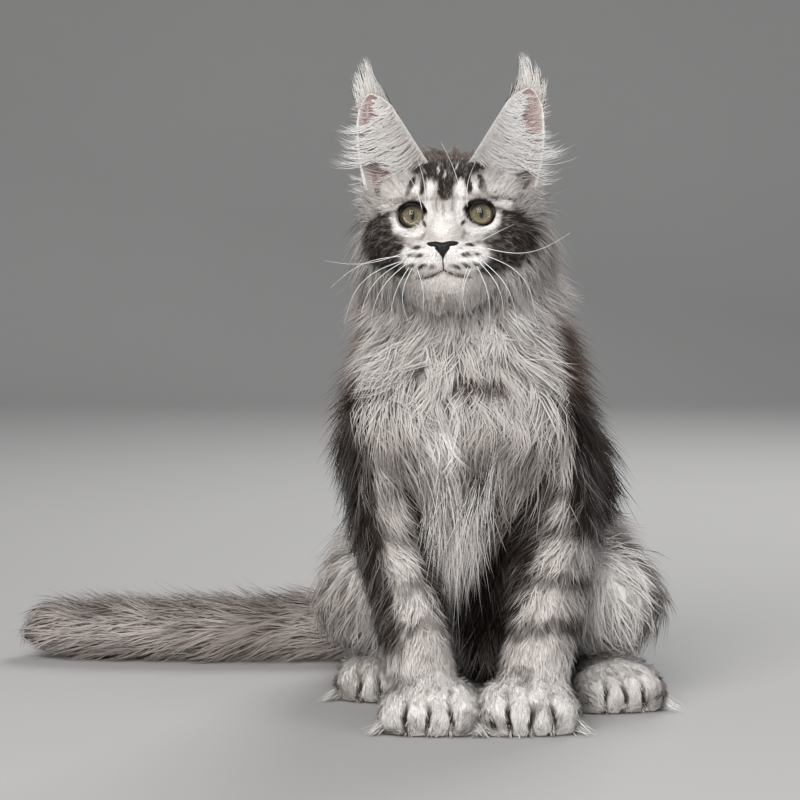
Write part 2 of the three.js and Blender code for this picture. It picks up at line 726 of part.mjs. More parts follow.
// A closed round cord through points, as lips and grooves need it.
function grooveSolid(points, radius) {
  const curve = new THREE.CatmullRomCurve3(points);
  const rings = 8;
  const round = 5;
  const tube = new THREE.TubeGeometry(curve, rings, radius, round, false);
  const p = tube.attributes.position;
  const ring = [];
  for (let i = 0; i <= rings; i += 1) {
    for (let j = 0; j < round; j += 1) ring.push(v3().fromBufferAttribute(p, i * (round + 1) + j));
  }
  const triangles = [];
  for (let i = 0; i < rings; i += 1) {
    for (let j = 0; j < round; j += 1) {
      const a = i * round + j;
      const b = i * round + ((j + 1) % round);
      triangles.push(a, a + round, b, b, a + round, b + round);
    }
  }
  for (let j = 1; j + 1 < round; j += 1) {
    triangles.push(0, j, j + 1);
    triangles.push(rings * round, rings * round + j + 1, rings * round + j);
  }
  const solid = solidOf(geometryOf(ring.flatMap((q) => q.toArray()), triangles));
  return solid;
}

// The upper lip on one side, from under the nose to the corner of the mouth.
const LIP_RADIUS = 1.3;
const LIP_LINE = [
  [0.5, -30, -33.5],
  [6, -29, -36],
  [12, -24, -36.5],
  [16.5, -14, -34.5],
];
const PHILTRUM_RADIUS = 0.7;
const PHILTRUM_LINE = [
  [0, -32, -25.5],
  [0, -32, -29],
  [0, -30, -33],
];

function lipSolid(s) {
  return grooveSolid(LIP_LINE.map(([x, y, z]) => onFace(x * s, y, z, -0.5)), LIP_RADIUS);
}

function headCore() {
  const philtrum = PHILTRUM_LINE.map(([x, y, z]) => onFace(x, y, z, 0));
  let solid = headRound(0).subtract(grooveSolid(philtrum, PHILTRUM_RADIUS));
  for (const { s } of sides) solid = solid.add(lipSolid(s));
  for (const { s } of sides) {
    solid = solid.subtract(eyeOpening(s)).add(lidSolid(s)).subtract(eyeballSolid(s, EYEBALL_RADIUS + GAP));
  }
  return solid;
}

const JAW_BLEND = 6;
const JAW_FUR = 1.5; // the chin's short fur, over the flesh
const JAW_ROOM = [onHead(-32, -32, -60), onHead(34, 24, -16)];
const JAW_CELLS = [8, 8, 6.5];

// The jaw's forms, run together, up to the mouth's plane.
function jawCore(grow) {
  const distance = (p) => {
    let d = Infinity;
    for (const form of forms) {
      if (form.group !== "jaw") continue;
      const own = formDistance(form, p);
      d = d === Infinity ? own : softMin(d, own, JAW_BLEND);
    }
    return d - JAW_FUR - grow;
  };
  const low = JAW_ROOM[0].toArray().map((x) => x - 4);
  const high = JAW_ROOM[1].toArray().map((x) => x + 4);
  const solid = solidOf(netMesh(distance, low, high, JAW_CELLS));
  return solid.intersect(halfSpace(headPlane.point, headPlane.up, grow - GAP / 2));
}

const noseAt = [0, -32.5, -20];

function noseCore(grow) {
  const g = new THREE.SphereGeometry(1, 12, 8);
  g.scale(8 + grow, 4.8 + grow, 5.6 + grow);
  const p = g.attributes.position;
  for (let i = 0; i < p.count; i += 1) {
    const z = p.getZ(i);
    p.setX(i, p.getX(i) * (1 + 0.09 * z)); // broad at the top, narrow towards the lip
  }
  g.translate(...noseAt).applyMatrix4(headPlace);
  let solid = solidOf(g);
  for (const { s } of sides) {
    const nostril = new THREE.SphereGeometry(1, 8, 6);
    nostril.scale(2.1, 3.2, 1.5);
    nostril.rotateY(0.5 * s);
    nostril.translate(noseAt[0] + 4.2 * s, noseAt[1] - 4.6, noseAt[2] - 0.8).applyMatrix4(headPlace);
    solid = solid.subtract(solidOf(nostril));
  }
  return solid;
}

// The ears

// The ear is a curved leaf, rooted in the head, with its hollow side to the front.
const EAR = {
  innerFoot: [9, 11, 26],
  outerFoot: [49, 21, 4],
  innerTip: [41, 27, 74],
  outerTip: [49, 29, 72],
};
const EAR_CUP = 17;
const EAR_THICKNESS = 2.2;
const EAR_ACROSS = 8;
const EAR_ALONG = 5;

// A point on the ear's hollow side. u runs from its inner edge, -1, to its outer edge, 1; v from foot to tip.
function earPoint(s, u, v) {
  const inner = v3(...EAR.innerFoot).lerp(v3(...EAR.innerTip), v);
  const outer = v3(...EAR.outerFoot).lerp(v3(...EAR.outerTip), v);
  outer.x += 7 * Math.sin(Math.PI * Math.min(1, v * 1.05));
  const p = inner.lerp(outer, (u + 1) / 2);
  const deep = EAR_CUP * (1 - v) ** 0.7 * (1 - u * u);
  p.y += deep;
  p.x -= 0.25 * deep;
  p.z -= v > 0.98 ? 1.5 * u * u : 0;
  p.x *= s;
  return p;
}

function earShell(s, grow) {
  const at = (u, v) => earPoint(s, u, v);
  const front = [];
  const back = [];
  for (let j = 0; j <= EAR_ALONG; j += 1) {
    for (let i = 0; i <= EAR_ACROSS; i += 1) {
      const u = -1 + (2 * i) / EAR_ACROSS;
      const v = j / EAR_ALONG;
      const p = at(u, v);
      const du = at(Math.min(u + 0.05, 1), v).sub(at(Math.max(u - 0.05, -1), v));
      const dv = at(u, Math.min(v + 0.03, 1)).sub(at(u, Math.max(v - 0.03, 0)));
      const n = du.cross(dv).normalize().multiplyScalar(s);
      front.push(p.clone().addScaledVector(n, grow));
      back.push(p.clone().addScaledVector(n, -EAR_THICKNESS - grow));
    }
  }
  const row = EAR_ACROSS + 1;
  const count = front.length;
  const triangles = [];
  const quad = (a, b, c, d) => triangles.push(a, b, c, a, c, d);
  for (let j = 0; j < EAR_ALONG; j += 1) {
    for (let i = 0; i < EAR_ACROSS; i += 1) {
      const a = j * row + i;
      quad(a, a + 1, a + row + 1, a + row);
      quad(count + a, count + a + row, count + a + row + 1, count + a + 1);
    }
    const left = j * row;
    const right = left + EAR_ACROSS;
    quad(left, left + row, count + left + row, count + left);
    quad(right, count + right, count + right + row, right + row);
  }
  for (let i = 0; i < EAR_ACROSS; i += 1) {
    const top = EAR_ALONG * row + i;
    quad(i, count + i, count + i + 1, i + 1);
    quad(top, top + 1, count + top + 1, count + top);
  }
  if (s < 0) triangles.reverse();
  const points = [...front, ...back].flatMap((p) => p.toArray());
  return solidOf(geometryOf(points, triangles).applyMatrix4(headPlace));
}

// The coat

// Locks are flat, tapered clumps of hair that start inside the core and bend along the lie.
const LOCK_SINK = 3.5;
const LOCK_FLATNESS = 0.3; // thickness as a share of the width
const FLOOR_CLEAR = 0.5;

// A seeded random number, the same at every run.
function seeded(seed) {
  let state = seed;
  return () => {
    state = (Math.imul(state, 1664525) + 1013904223) >>> 0;
    return state / 4294967296;
  };
}

// A clump along a line of points, with the way out of the coat at each. It is flat below, has a ridge
// above, is widest a third of the way along and ends in a point.
function clump(points, outward, width, grow = 0) {
  const last = points.length - 1;
  const ring = [];
  const ahead = new THREE.Vector3();
  for (let k = 0; k < last; k += 1) {
    const t = k / last;
    ahead.copy(points[k + 1]).sub(points[Math.max(k - 1, 0)]).normalize();
    const across = ahead.clone().cross(outward[k]).normalize();
    const up = across.clone().cross(ahead).normalize();
    const half = (width / 2) * (0.8 + 0.9 * t) * (1 - t) ** 0.5 + grow;
    const ridge = width * LOCK_FLATNESS * (1 - 0.5 * t) + grow;
    ring.push(points[k].clone().addScaledVector(across, half).addScaledVector(up, -grow));
    ring.push(points[k].clone().addScaledVector(up, ridge));
    ring.push(points[k].clone().addScaledVector(across, -half).addScaledVector(up, -grow));
  }
  ring.push(points[last].clone().addScaledVector(ahead, grow * 2));
  const triangles = [0, 1, 2];
  for (let k = 0; k < last; k += 1) {
    for (let j = 0; j < 3; j += 1) {
      const a = 3 * k + j;
      const b = 3 * k + ((j + 1) % 3);
      if (k + 1 === last) triangles.push(b, a, 3 * last);
      else triangles.push(b, a, a + 3, b, a + 3, b + 3);
    }
  }
  return solidOf(geometryOf(ring.flatMap((p) => p.toArray()), triangles));
}

// The line of a lock from a root on the core: it follows the lie and rises from inside the core to the
// coat's own depth at its tip. turn swings it to one side, and curl bends it on the way.
function lockLine(root, { length, rise, turn, curl, steps }) {
  const points = [];
  const outward = [];
  const p = root.clone();
  for (let k = 0; k <= steps; k += 1) {
    const t = k / steps;
    settle(coreDistance, p, -LOCK_SINK + (LOCK_SINK + rise) * t ** 0.8, 2);
    p.z = Math.max(p.z, FLOOR_CLEAR);
    const n = gradient(coreDistance, p).normalize();
    points.push(p.clone());
    outward.push(n);
    const along = bodyAt(p).lie;
    along.addScaledVector(n, -along.dot(n)).normalize().applyAxisAngle(n, turn + curl * t);
    p.addScaledVector(along, length / steps);
  }
  return { points, outward };
}

// Points spread over a core's skin, no two nearer than the spacing there, in a seeded order.
function scatter(core, random, spacing, keep) {
  const g = rawGeometry(core);
  const p = g.attributes.position;
  const index = g.index.array;
  const corner = (i) => v3(p.getX(index[i]), p.getY(index[i]), p.getZ(index[i]));
  const sums = [];
  let area = 0;
  for (let i = 0; i < index.length; i += 3) {
    area += new THREE.Triangle(corner(i), corner(i + 1), corner(i + 2)).getArea();
    sums.push(area);
  }
  const chosen = [];
  const tries = Math.ceil(area / 12);
  for (let n = 0; n < tries; n += 1) {
    const at = random() * area;
    let low = 0;
    let high = sums.length - 1;
    while (low < high) {
      const middle = (low + high) >> 1;
      if (sums[middle] < at) low = middle + 1;
      else high = middle;
    }
    const [a, b, c] = [corner(3 * low), corner(3 * low + 1), corner(3 * low + 2)];
    const u = Math.sqrt(random());
    const w = random();
    const q = a.multiplyScalar(1 - u).addScaledVector(b, u * (1 - w)).addScaledVector(c, u * w);
    if (Math.abs(coreDistance(q)) > 1.2 || !keep(q)) continue;
    const room = spacing(q);
    if (chosen.every((other) => other.distanceTo(q) > room)) chosen.push(q);
  }
  return chosen;
}

// How long, wide and far apart the locks of a kind of node are, as multiples of the coat's length there
const COATS = {
  head: { long: 1.4, wide: 0.6, apart: 0.86, least: 16, steps: 2 },
  neck: { long: 1.6, wide: 0.7, apart: 0.92, least: 0, steps: 3 },
  torso: { long: 1.6, wide: 0.74, apart: 1.34, least: 0, steps: 2 },
  shoulder: { long: 1.7, wide: 0.8, apart: 1.25, least: 0, steps: 2 },
  forearm: { long: 2.0, wide: 1.0, apart: 2.6, least: 0, steps: 2 },
  thigh: { long: 1.8, wide: 0.8, apart: 1.36, least: 0, steps: 2 },
  tail: { long: 2.2, wide: 0.66, apart: 1.0, least: 0, steps: 2 },
};
const LOCK_MIN_HEIGHT = 6; // no lock starts lower than this over the floor

function coatLocks(name, core, random) {
  const kind = name.split("_")[0];
  const coat = COATS[kind];
  const lift = kind === "head" ? 1.5 : 1;
  if (!coat) return [];
  const depth = (p) => bodyAt(p).coat;
  const keep = (p) => p.z > LOCK_MIN_HEIGHT && depth(p) > coat.least && gradient(coreDistance, p).z > -0.5;
  return scatter(core, random, (p) => coat.apart * depth(p), keep).map((root) => {
    const deep = depth(root);
    const length = deep * coat.long * (0.85 + 0.3 * random());
    const rise = lift * deep * (1 - CORE_SHARE) * (0.75 + 0.35 * random());
    const turn = 0.5 * (random() - 0.5);
    const curl = 0.7 * (random() - 0.5);
    const line = lockLine(root, { length, rise, turn, curl, steps: coat.steps });
    return { ...line, width: deep * coat.wide * (0.8 + 0.4 * random()) };
  });
}

// The tuft on an ear's tip and the hair that sweeps from its inner edge out past its outer edge, as
// lines of points on the head, for a left ear.
const EAR_TUFTS = [
  { line: [[44, 28.2, 58], [46, 28, 72], [48, 27.5, 82], [50, 27, 92]], width: 8, lean: -4 },
  { line: [[47, 28.6, 56], [50, 28, 70], [53, 27.5, 78], [54, 27, 86]], width: 6, lean: 1 },
  { line: [[42, 28.2, 56], [42.5, 28, 70], [44, 27.5, 79], [45, 27, 86]], width: 6, lean: -2 },
];
const EAR_SWEEPS = [
  { foot: [-0.86, 0.12], height: 27, reach: 70, lift: -2 },
  { foot: [-0.86, 0.24], height: 34, reach: 76, lift: 3 },
  { foot: [-0.86, 0.36], height: 41, reach: 74, lift: 6 },
  { foot: [-0.86, 0.48], height: 49, reach: 66, lift: 5 },
];
const SWEEP_WIDTH = 5;
const SWEEP_FRONT = 5;

function earLocks(s, grow) {
  const facing = v3(0, -1, 0).applyMatrix4(headTurn);
  const locks = EAR_TUFTS.map(({ line, width, lean }) => {
    const points = line.map(([x, y, z], k) => onHead((x + (s * lean * k) / 3) * s, y, z));
    return clump(points, points.map(() => facing), width, grow);
  });
  for (const { foot, height, reach, lift } of EAR_SWEEPS) {
    const root = earPoint(s, ...foot);
    root.y += 1.3;
    const front = earPoint(s, 1, foot[1]).y - SWEEP_FRONT;
    const line = [
      root,
      v3(34 * s, front - 1, height),
      v3(57 * s, front, height + 1),
      v3(reach * s, front + 6, height + lift + 2),
    ];
    const points = line.map((p) => p.applyMatrix4(headPlace));
    locks.push(clump(points, points.map(() => facing), SWEEP_WIDTH, grow));
  }
  return locks;
}

function wholeEar(s, grow) {
  return wasm.Manifold.union([earShell(s, grow), ...earLocks(s, grow)]);
}

// The level way that a foot points.
function footForward(leg, fore) {
  if (fore) return v3(0.1 * leg.s, -1, 0).normalize();
  return leg.toes.clone().sub(leg.hock).setZ(0).normalize();
}

const TOE_TUFT_SPACING = 12;
const TOE_TUFT_WIDTH = 7;

// Hair between the toes, pointing forward over the floor.
function toeTufts(name, grow) {
  const side = name.split("_").at(-1);
  const leg = legs[side];
  const fore = name.startsWith("forepaw");
  const paw = fore ? leg.paw : leg.toes;
  const forward = footForward(leg, fore);
  const across = v3(-forward.y, forward.x, 0);
  const up = v3(0, 0, 1);
  const reach = fore ? 26 : 25;
  return [-1, 0, 1].map((place) => {
    const row = paw.clone().addScaledVector(across, place * TOE_TUFT_SPACING);
    const at = (far, z) => row.clone().addScaledVector(forward, far).setZ(z);
    const tip = at(reach - 2 * Math.abs(place), 2.5);
    const points = [at(4, 11), at(reach * 0.55, 11), at(reach * 0.8, 7), tip];
    return clump(points, [up, up, up, up], TOE_TUFT_WIDTH, grow);
  });
}

const TOE_GAP = 0.9;
const TOE_GAP_DEPTH = 13;

// The thin clefts between the toes.
function toeClefts(name) {
  const leg = legs[name.split("_").at(-1)];
  const fore = name.startsWith("forepaw");
  const paw = fore ? leg.paw : leg.toes;
  const forward = footForward(leg, fore);
  const across = v3(-forward.y, forward.x, 0);
  const front = fore ? 26 : 23;
  return [-1, 0, 1].map((place) => {
    const g = new THREE.BoxGeometry(TOE_GAP, TOE_GAP_DEPTH, 20);
    g.translate(0, front - 2.5 * Math.abs(place), 12);
    g.rotateX(0.35);
    g.applyMatrix4(new THREE.Matrix4().makeBasis(across.clone().negate(), forward, v3(0, 0, 1)));
    g.translate(paw.x + across.x * place * 12, paw.y + across.y * place * 12, 0);
    return solidOf(g);
  });
}

const BIB_ROOTS = [
  [-40, 172], [-26, 184], [-10, 182], [6, 174], [-34, 150], [-18, 158], [0, 150], [-26, 130], [-8, 128],
];
const BIB_MIDDLE = -20;
const BIB_LENGTH = 58;
const BIB_WIDTH = 19;

// Long locks down the chest that draw together towards its middle
function bibLocks() {
  return BIB_ROOTS.map(([x, z], i) => {
    const root = v3(x, -150, z);
    settle(coreDistance, root, 0, 4);
    root.x = x;
    const turn = 0.011 * (x - BIB_MIDDLE);
    const rise = 17 + 2 * (i % 3);
    const line = lockLine(root, { length: BIB_LENGTH, rise, turn, curl: 0.15 * ((i % 3) - 1), steps: 3 });
    return { ...line, width: BIB_WIDTH };
  });
}

// The cores of all nodes, and a grown copy of each that its neighbours' locks are cut clear of.
function build() {
  const nodes = new Map();
  nodes.set("head", { core: headCore(), fat: headRound(FAT) });
  const fatHead = nodes.get("head").fat;
  for (const { name, s } of sides) {
    const ball = (grow) => eyeballSolid(s, EYEBALL_RADIUS + grow);
    nodes.set("eye_" + name, { core: ball(0), fat: ball(GAP) });
    nodes.set("ear_" + name, { core: wholeEar(s, 0).subtract(fatHead), fat: wholeEar(s, FAT) });
  }
  nodes.set("nose", { core: noseCore(0).subtract(fatHead), fat: noseCore(FAT) });
  const jaw = jawCore(0).subtract(fatHead).subtract(nodes.get("nose").fat);
  nodes.set("jaw", { core: jaw, fat: jawCore(FAT) });
  for (const name of Object.keys(GRIDS)) {
    const { core, fat } = bodyCore(name);
    const clefts = /^(forepaw|hind_foot)/.test(name) ? toeClefts(name) : [];
    nodes.set(name, { core: clefts.reduce((solid, cleft) => solid.subtract(cleft), core), fat });
  }
  return nodes;
}

const LOCK_ORDER = ["head", "neck", "torso", "shoulder", "thigh", "forearm", "tail"];
const SHORTER = [1, 0.72, 0.5];
const MOST_LOCKS = 200; // in one node

// The coat's locks, node by node, from the head down. A lock that would run into one of another node is
// made shorter, or left out.
function dress(nodes) {
  const random = seeded(7);
  const placed = [];
  const place = (name, fat, solid) => placed.push({ name, fat, solid, box: fat.boundingBox() });
  for (const name of nodes.keys()) {
    if (!/^(forepaw|hind_foot)/.test(name)) continue;
    const fat = toeTufts(name, FAT);
    toeTufts(name, 0).forEach((solid, i) => place(name, fat[i], solid));
  }
  for (const kind of LOCK_ORDER) {
    for (const [name, { core }] of nodes) {
      if (name.split("_")[0] !== kind) continue;
      const wanted = coatLocks(name, core, random);
      if (name === "torso") wanted.unshift(...bibLocks());
      for (const { points, outward, width } of wanted) {
        for (const share of SHORTER) {
          const line = new THREE.CatmullRomCurve3(points);
          const cut = points.map((_, k) => line.getPoint((share * k) / (points.length - 1)));
          const fat = clump(cut, outward, width, FAT);
          const box = fat.boundingBox();
          const near = placed.filter((other) => other.name !== name && boxesMeet(box, other.box));
          if (near.some((other) => !fat.intersect(other.solid).isEmpty())) continue;
          place(name, fat, clump(cut, outward, width));
          break;
        }
      }
    }
  }
  return placed;
}

// A node with its locks, clear of the cores of the other nodes and of the floor. One lock can be skipped.
function joined(name, nodes, placed, skip = -1) {
  const locks = placed.filter((lock) => lock.name === name);
  const own = locks.filter((_, i) => i !== skip).map((lock) => lock.solid);
  if (own.length === 0) return nodes.get(name).core;
  let coat = wasm.Manifold.union(own).intersect(floorSide);
  const box = coat.boundingBox();
  for (const [other, { core, fat }] of nodes) {
    if (other !== name && boxesMeet(box, fat.boundingBox())) coat = coat.subtract(fat.add(core));
  }
  return nodes.get(name).core.add(coat);
}

// The nodes' finished geometries. A lock that keeps its node from closing is left out.
function finishAll(nodes, placed) {
  const whole = new Map([...nodes.keys()].map((name) => [name, joined(name, nodes, placed)]));
  const finished = new Map();
  for (const name of nodes.keys()) {
    const others = [...whole].filter(([other]) => other !== name).map(([, solid]) => solid);
    let g = geometryFrom(whole.get(name), others);
    for (let skip = 0; !g; skip += 1) {
      if (skip > MOST_LOCKS) throw new Error(name + " doesn't close");
      g = geometryFrom(joined(name, nodes, placed, skip), others);
    }
    whole.set(name, solidOf(g));
    finished.set(name, g);
  }
  return finished;
}

const finish = (color, roughness) => new THREE.MeshStandardMaterial({ color, roughness, metalness: 0 });
const FINISHES = {
  tabby: finish(0x8f8a84, 0.9),
  face: finish(0x6f6963, 0.85),
  pale: finish(0xd2ccc4, 0.9),
  ear: finish(0x85776f, 0.8),
  eye: finish(0x746c3c, 0.15),
  nose: finish(0x171517, 0.45),
};
const NODE_FINISH = {
  head: "face",
  jaw: "pale",
  ear: "ear",
  eye: "eye",
  nose: "nose",
  forepaw: "pale",
  hind: "pale",
};

const kitten = new THREE.Group();
const nodes = build();
for (const [name, geometry] of finishAll(nodes, dress(nodes))) {
  const mesh = new THREE.Mesh(geometry, FINISHES[NODE_FINISH[name.split("_")[0]] ?? "tabby"]);
  mesh.name = name;
  kitten.add(mesh);
}

export default kitten;
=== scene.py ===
"""A Maine Coon kitten of about five months, sitting upright with its tail laid out to its right.

Every class works in millimetres, and a mesh is made in metres. +X is the kitten's left, -Y the way that
it faces and +Z up. The origin is on the floor under the middle of its seat.
"""
import sys
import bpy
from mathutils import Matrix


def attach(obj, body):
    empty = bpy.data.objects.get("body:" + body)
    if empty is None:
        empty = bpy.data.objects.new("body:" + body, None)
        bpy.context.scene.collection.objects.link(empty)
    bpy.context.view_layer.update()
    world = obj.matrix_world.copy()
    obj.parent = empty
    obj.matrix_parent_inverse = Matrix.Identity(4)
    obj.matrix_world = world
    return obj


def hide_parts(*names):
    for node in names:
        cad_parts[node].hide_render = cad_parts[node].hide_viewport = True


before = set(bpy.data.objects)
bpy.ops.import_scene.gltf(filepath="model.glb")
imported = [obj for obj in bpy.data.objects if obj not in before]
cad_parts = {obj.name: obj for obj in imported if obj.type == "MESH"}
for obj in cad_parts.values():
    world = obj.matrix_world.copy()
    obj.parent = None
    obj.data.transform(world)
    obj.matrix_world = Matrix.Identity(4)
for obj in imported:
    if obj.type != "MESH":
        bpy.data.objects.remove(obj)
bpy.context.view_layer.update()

import logging
import math
from dataclasses import dataclass
from enum import Enum
from typing import Callable, Sequence

import bpy
import numpy as np
from mathutils import Matrix, Vector

log = logging.getLogger("kitten")
Array = np.ndarray

MM = 0.001
HEAD_AT = np.array([-25.6, -147.5, 306.0])  # midway between the eyeballs' centres
HEAD_YAW = math.radians(-7.0)  # the nose turns towards the kitten's right
HEAD_PITCH = math.radians(-3.0)  # the nose lifts
HEAD_ROLL = math.radians(-1.8)
EYE_SPACING = 40.2
EYEBALL_RADIUS = 10.35
CHEST_X = -13.0
SHOULDER_OFFSET = 36.0
CHEST_HEIGHT = 162.0
SEAT_HEIGHT = 58.0
COAT_BLEND = 9.0
SKIN_SHARE = (0.68, 0.25)  # the skin lies this share of the coat over the flesh where it is short, and long
SHORT_COAT, LONG_COAT = 4.0, 11.0
BEFORE_NOSE = (0, -36, -19)  # in the head's frame: the face's hair runs away from here
FEET_TOP = 34.0  # the clefts between the toes lie below this height
HEAD_EDGE = (8.0, -4.0)  # the head fades in as its own distance, less the body's, falls through this
COLOUR = "coat_colour"  # the colour that each vertex carries


class Slot(Enum):
    """Material slot names; the pieces take one as an argument, but none is stored."""

    COAT = "tabby_coat"
    FACE = "face_fur"
    PALE = "pale_fur"
    EAR = "ear_fur"
    EYE = "eye"
    NOSE = "nose_leather"


class Side(Enum):
    """The kitten's two sides, by the sign of x."""

    LEFT = 1
    RIGHT = -1

    @property
    def word(self) -> str:
        """The side's name as the nodes have it."""
        return self.name.lower()


class Group(Enum):
    """The groups of forms that make the body."""

    HEAD = 0
    JAW = 1
    NECK = 2
    TRUNK = 3
    FORE_LEFT = 4
    FORE_RIGHT = 5
    HIND_LEFT = 6
    HIND_RIGHT = 7
    TAIL = 8


GROUP_BLEND = dict(zip(Group, (7.0, 6.0, 16.0, 20.0, 6.0, 6.0, 9.0, 9.0, 8.0)))
LIMB_BLEND = {Group.FORE_LEFT: 14.0, Group.FORE_RIGHT: 14.0, Group.HIND_LEFT: 14.0, Group.HIND_RIGHT: 14.0,
              Group.TAIL: 12.0}
CORE_BLEND = {Group.NECK: 18.0, Group.HEAD: 14.0, Group.JAW: 13.0}


def vec(*values: float) -> Array:
    """A point or direction as an array."""
    return np.array(values, float)


def unit(v: Array) -> Array:
    """v scaled to length one along its last axis."""
    return v / np.maximum(np.linalg.norm(v, axis=-1, keepdims=True), 1e-9)


def ramp(x: Array, low: float, high: float) -> Array:
    """0 below low, 1 above high, and 3t^2 - 2t^3 between them. low may be the larger."""
    t = np.clip((x - low) / (high - low), 0.0, 1.0)
    return t * t * (3.0 - 2.0 * t)


def soft_min(a: Array, b: Array, k: float) -> Array:
    """The smaller of a and b, less a quarter of k where they are equal, so that two forms run together."""
    h = np.maximum(k - np.abs(a - b), 0.0) / k
    return np.minimum(a, b) - h * h * k * 0.25


def linear(srgb: Sequence[float]) -> Array:
    """A colour given as it shows, from 0 to 255, as linear light."""
    c = np.asarray(srgb, float) / 255.0
    return np.where(c <= 0.04045, c / 12.92, ((c + 0.055) / 1.055) ** 2.4)


def sideways(ahead: Array) -> Array:
    """The level direction square to a level one."""
    return vec(-ahead[1], ahead[0], 0)


def skin_share(coat: Array) -> Array:
    """The share of the coat's length at which the skin lies."""
    return SKIN_SHARE[1] + (SKIN_SHARE[0] - SKIN_SHARE[1]) * ramp(coat, LONG_COAT, SHORT_COAT)


CORNERS = np.array([[c & 1, (c >> 1) & 1, (c >> 2) & 1] for c in range(8)])  # of a cell


class Noise:
    """Smooth noise from -1 to 1: hashed values at the points of a lattice, blended between them."""

    def __init__(self, seed: int) -> None:
        """Keeps the seed of the hash."""
        self.seed = seed

    def at(self, p: Array, size: float) -> Array:
        """The noise at points.

        Args:
            p: points, (n, 3).
            size: the lattice's spacing.

        Returns:
            (n,) values: the eight corners' hashes, weighted by smooth steps of the place between them.
        """
        q = p / size
        low = np.floor(q).astype(np.int64)
        t = q - low
        t = t * t * (3.0 - 2.0 * t)
        total = np.zeros(len(p))
        for bit in CORNERS:
            c = low + bit
            h = (c[:, 0] * 73856093) ^ (c[:, 1] * 19349663) ^ (c[:, 2] * 83492791) ^ (self.seed * 2654435)
            h = (h ^ (h >> 13)) * 1274126177
            value = ((h ^ (h >> 16)) & 0xFFFFF) / float(0xFFFFF)
            total += value * np.prod(np.where(bit == 1, t, 1.0 - t), axis=1)
        return 2.0 * total - 1.0


class Head:
    """The head's own frame: x to the kitten's left, y backwards, z up, from midway between the eyes."""

    def __init__(self) -> None:
        """Turns the frame by yaw, roll and pitch."""
        turn = Matrix.Rotation(HEAD_YAW, 3, "Z") @ Matrix.Rotation(HEAD_ROLL, 3, "Y")
        self.turn = np.array(turn @ Matrix.Rotation(HEAD_PITCH, 3, "X"))

    def out(self, p: Array) -> Array:
        """Points of the head's frame as points of the part's frame."""
        return np.asarray(p, float) @ self.turn.T + HEAD_AT

    def into(self, p: Array) -> Array:
        """Points of the part's frame as points of the head's frame."""
        return (np.asarray(p, float) - HEAD_AT) @ self.turn

    def way(self, v: Array) -> Array:
        """Directions of the head's frame as directions of the part's frame."""
        return np.asarray(v, float) @ self.turn.T

    def eye(self, side: Side) -> Array:
        """The centre of an eyeball."""
        return self.out(vec(EYE_SPACING / 2 * side.value, 0, 0))

    def gaze(self, side: Side) -> Array:
        """The direction of an eye."""
        return self.way(unit(vec(0.12 * side.value, -1, 0.03)))


HEAD = Head()


@dataclass(frozen=True)
class Egg:
    """A form of flesh with half-axes along x, y and z, turned with the head where turn is given."""

    group: Group
    centre: Array
    radii: Array
    coat: float
    lie: Array | None
    turn: Array | None = None

    def near(self, p: Array) -> tuple[Array, Array]:
        """Distance and coat at points: |q/r| (|q/r| - 1) over |q/r^2|, q the place from the centre.

        Args:
            p: points, (n, 3).

        Returns:
            The distance and the coat, (n,) each.
        """
        q = p - self.centre
        if self.turn is not None:
            q = q @ self.turn
        near = np.linalg.norm(q / self.radii, axis=1)
        steep = np.linalg.norm(q / self.radii**2, axis=1) + 1e-9
        return near * (near - 1.0) / steep, np.full(len(p), self.coat)


@dataclass(frozen=True)
class Limb:
    """A form of flesh with round ends, from one point to another, with a radius and a coat at each."""

    group: Group
    start: Array
    end: Array
    radii: tuple[float, float]
    coats: tuple[float, float]
    lie: Array | None

    def near(self, p: Array) -> tuple[Array, Array]:
        """Distance and coat at points, from the nearest point of the axis and the radius there.

        Args:
            p: points, (n, 3).

        Returns:
            The distance and the coat, (n,) each.
        """
        along = self.end - self.start
        t = np.clip((p - self.start) @ along / (along @ along), 0.0, 1.0)
        radius = self.radii[0] + (self.radii[1] - self.radii[0]) * t
        coat = self.coats[0] + (self.coats[1] - self.coats[0]) * t
        return np.linalg.norm(p - self.start - t[:, None] * along, axis=1) - radius, coat


@dataclass
class Flesh:
    """What is at some points: distance to the flesh, the coat's length and lie, and each group's distance.

    depth is how far below the coat's surface the skin lies.
    """

    skin: Array
    coat: Array
    depth: Array
    lie: Array
    groups: dict[Group, Array]

    @property
    def nearest(self) -> Array:
        """The value of the nearest group at each point.

        Returns:
            (n,) values of Group.
        """
        keys = list(self.groups)
        stack = np.stack([self.groups[k] for k in keys])
        return np.array([k.value for k in keys])[np.argmin(stack, axis=0)]

    @property
    def head_share(self) -> Array:
        """1 on the head and 0 on the body."""
        own, rest = head_and_rest(self.groups)
        return ramp(own - rest, *HEAD_EDGE)


def head_and_rest(groups: dict[Group, Array]) -> tuple[Array, Array]:
    """The distance to the head or jaw, and to the neck or trunk."""
    return (np.minimum(groups[Group.HEAD], groups[Group.JAW]),
            np.minimum(groups[Group.NECK], groups[Group.TRUNK]))


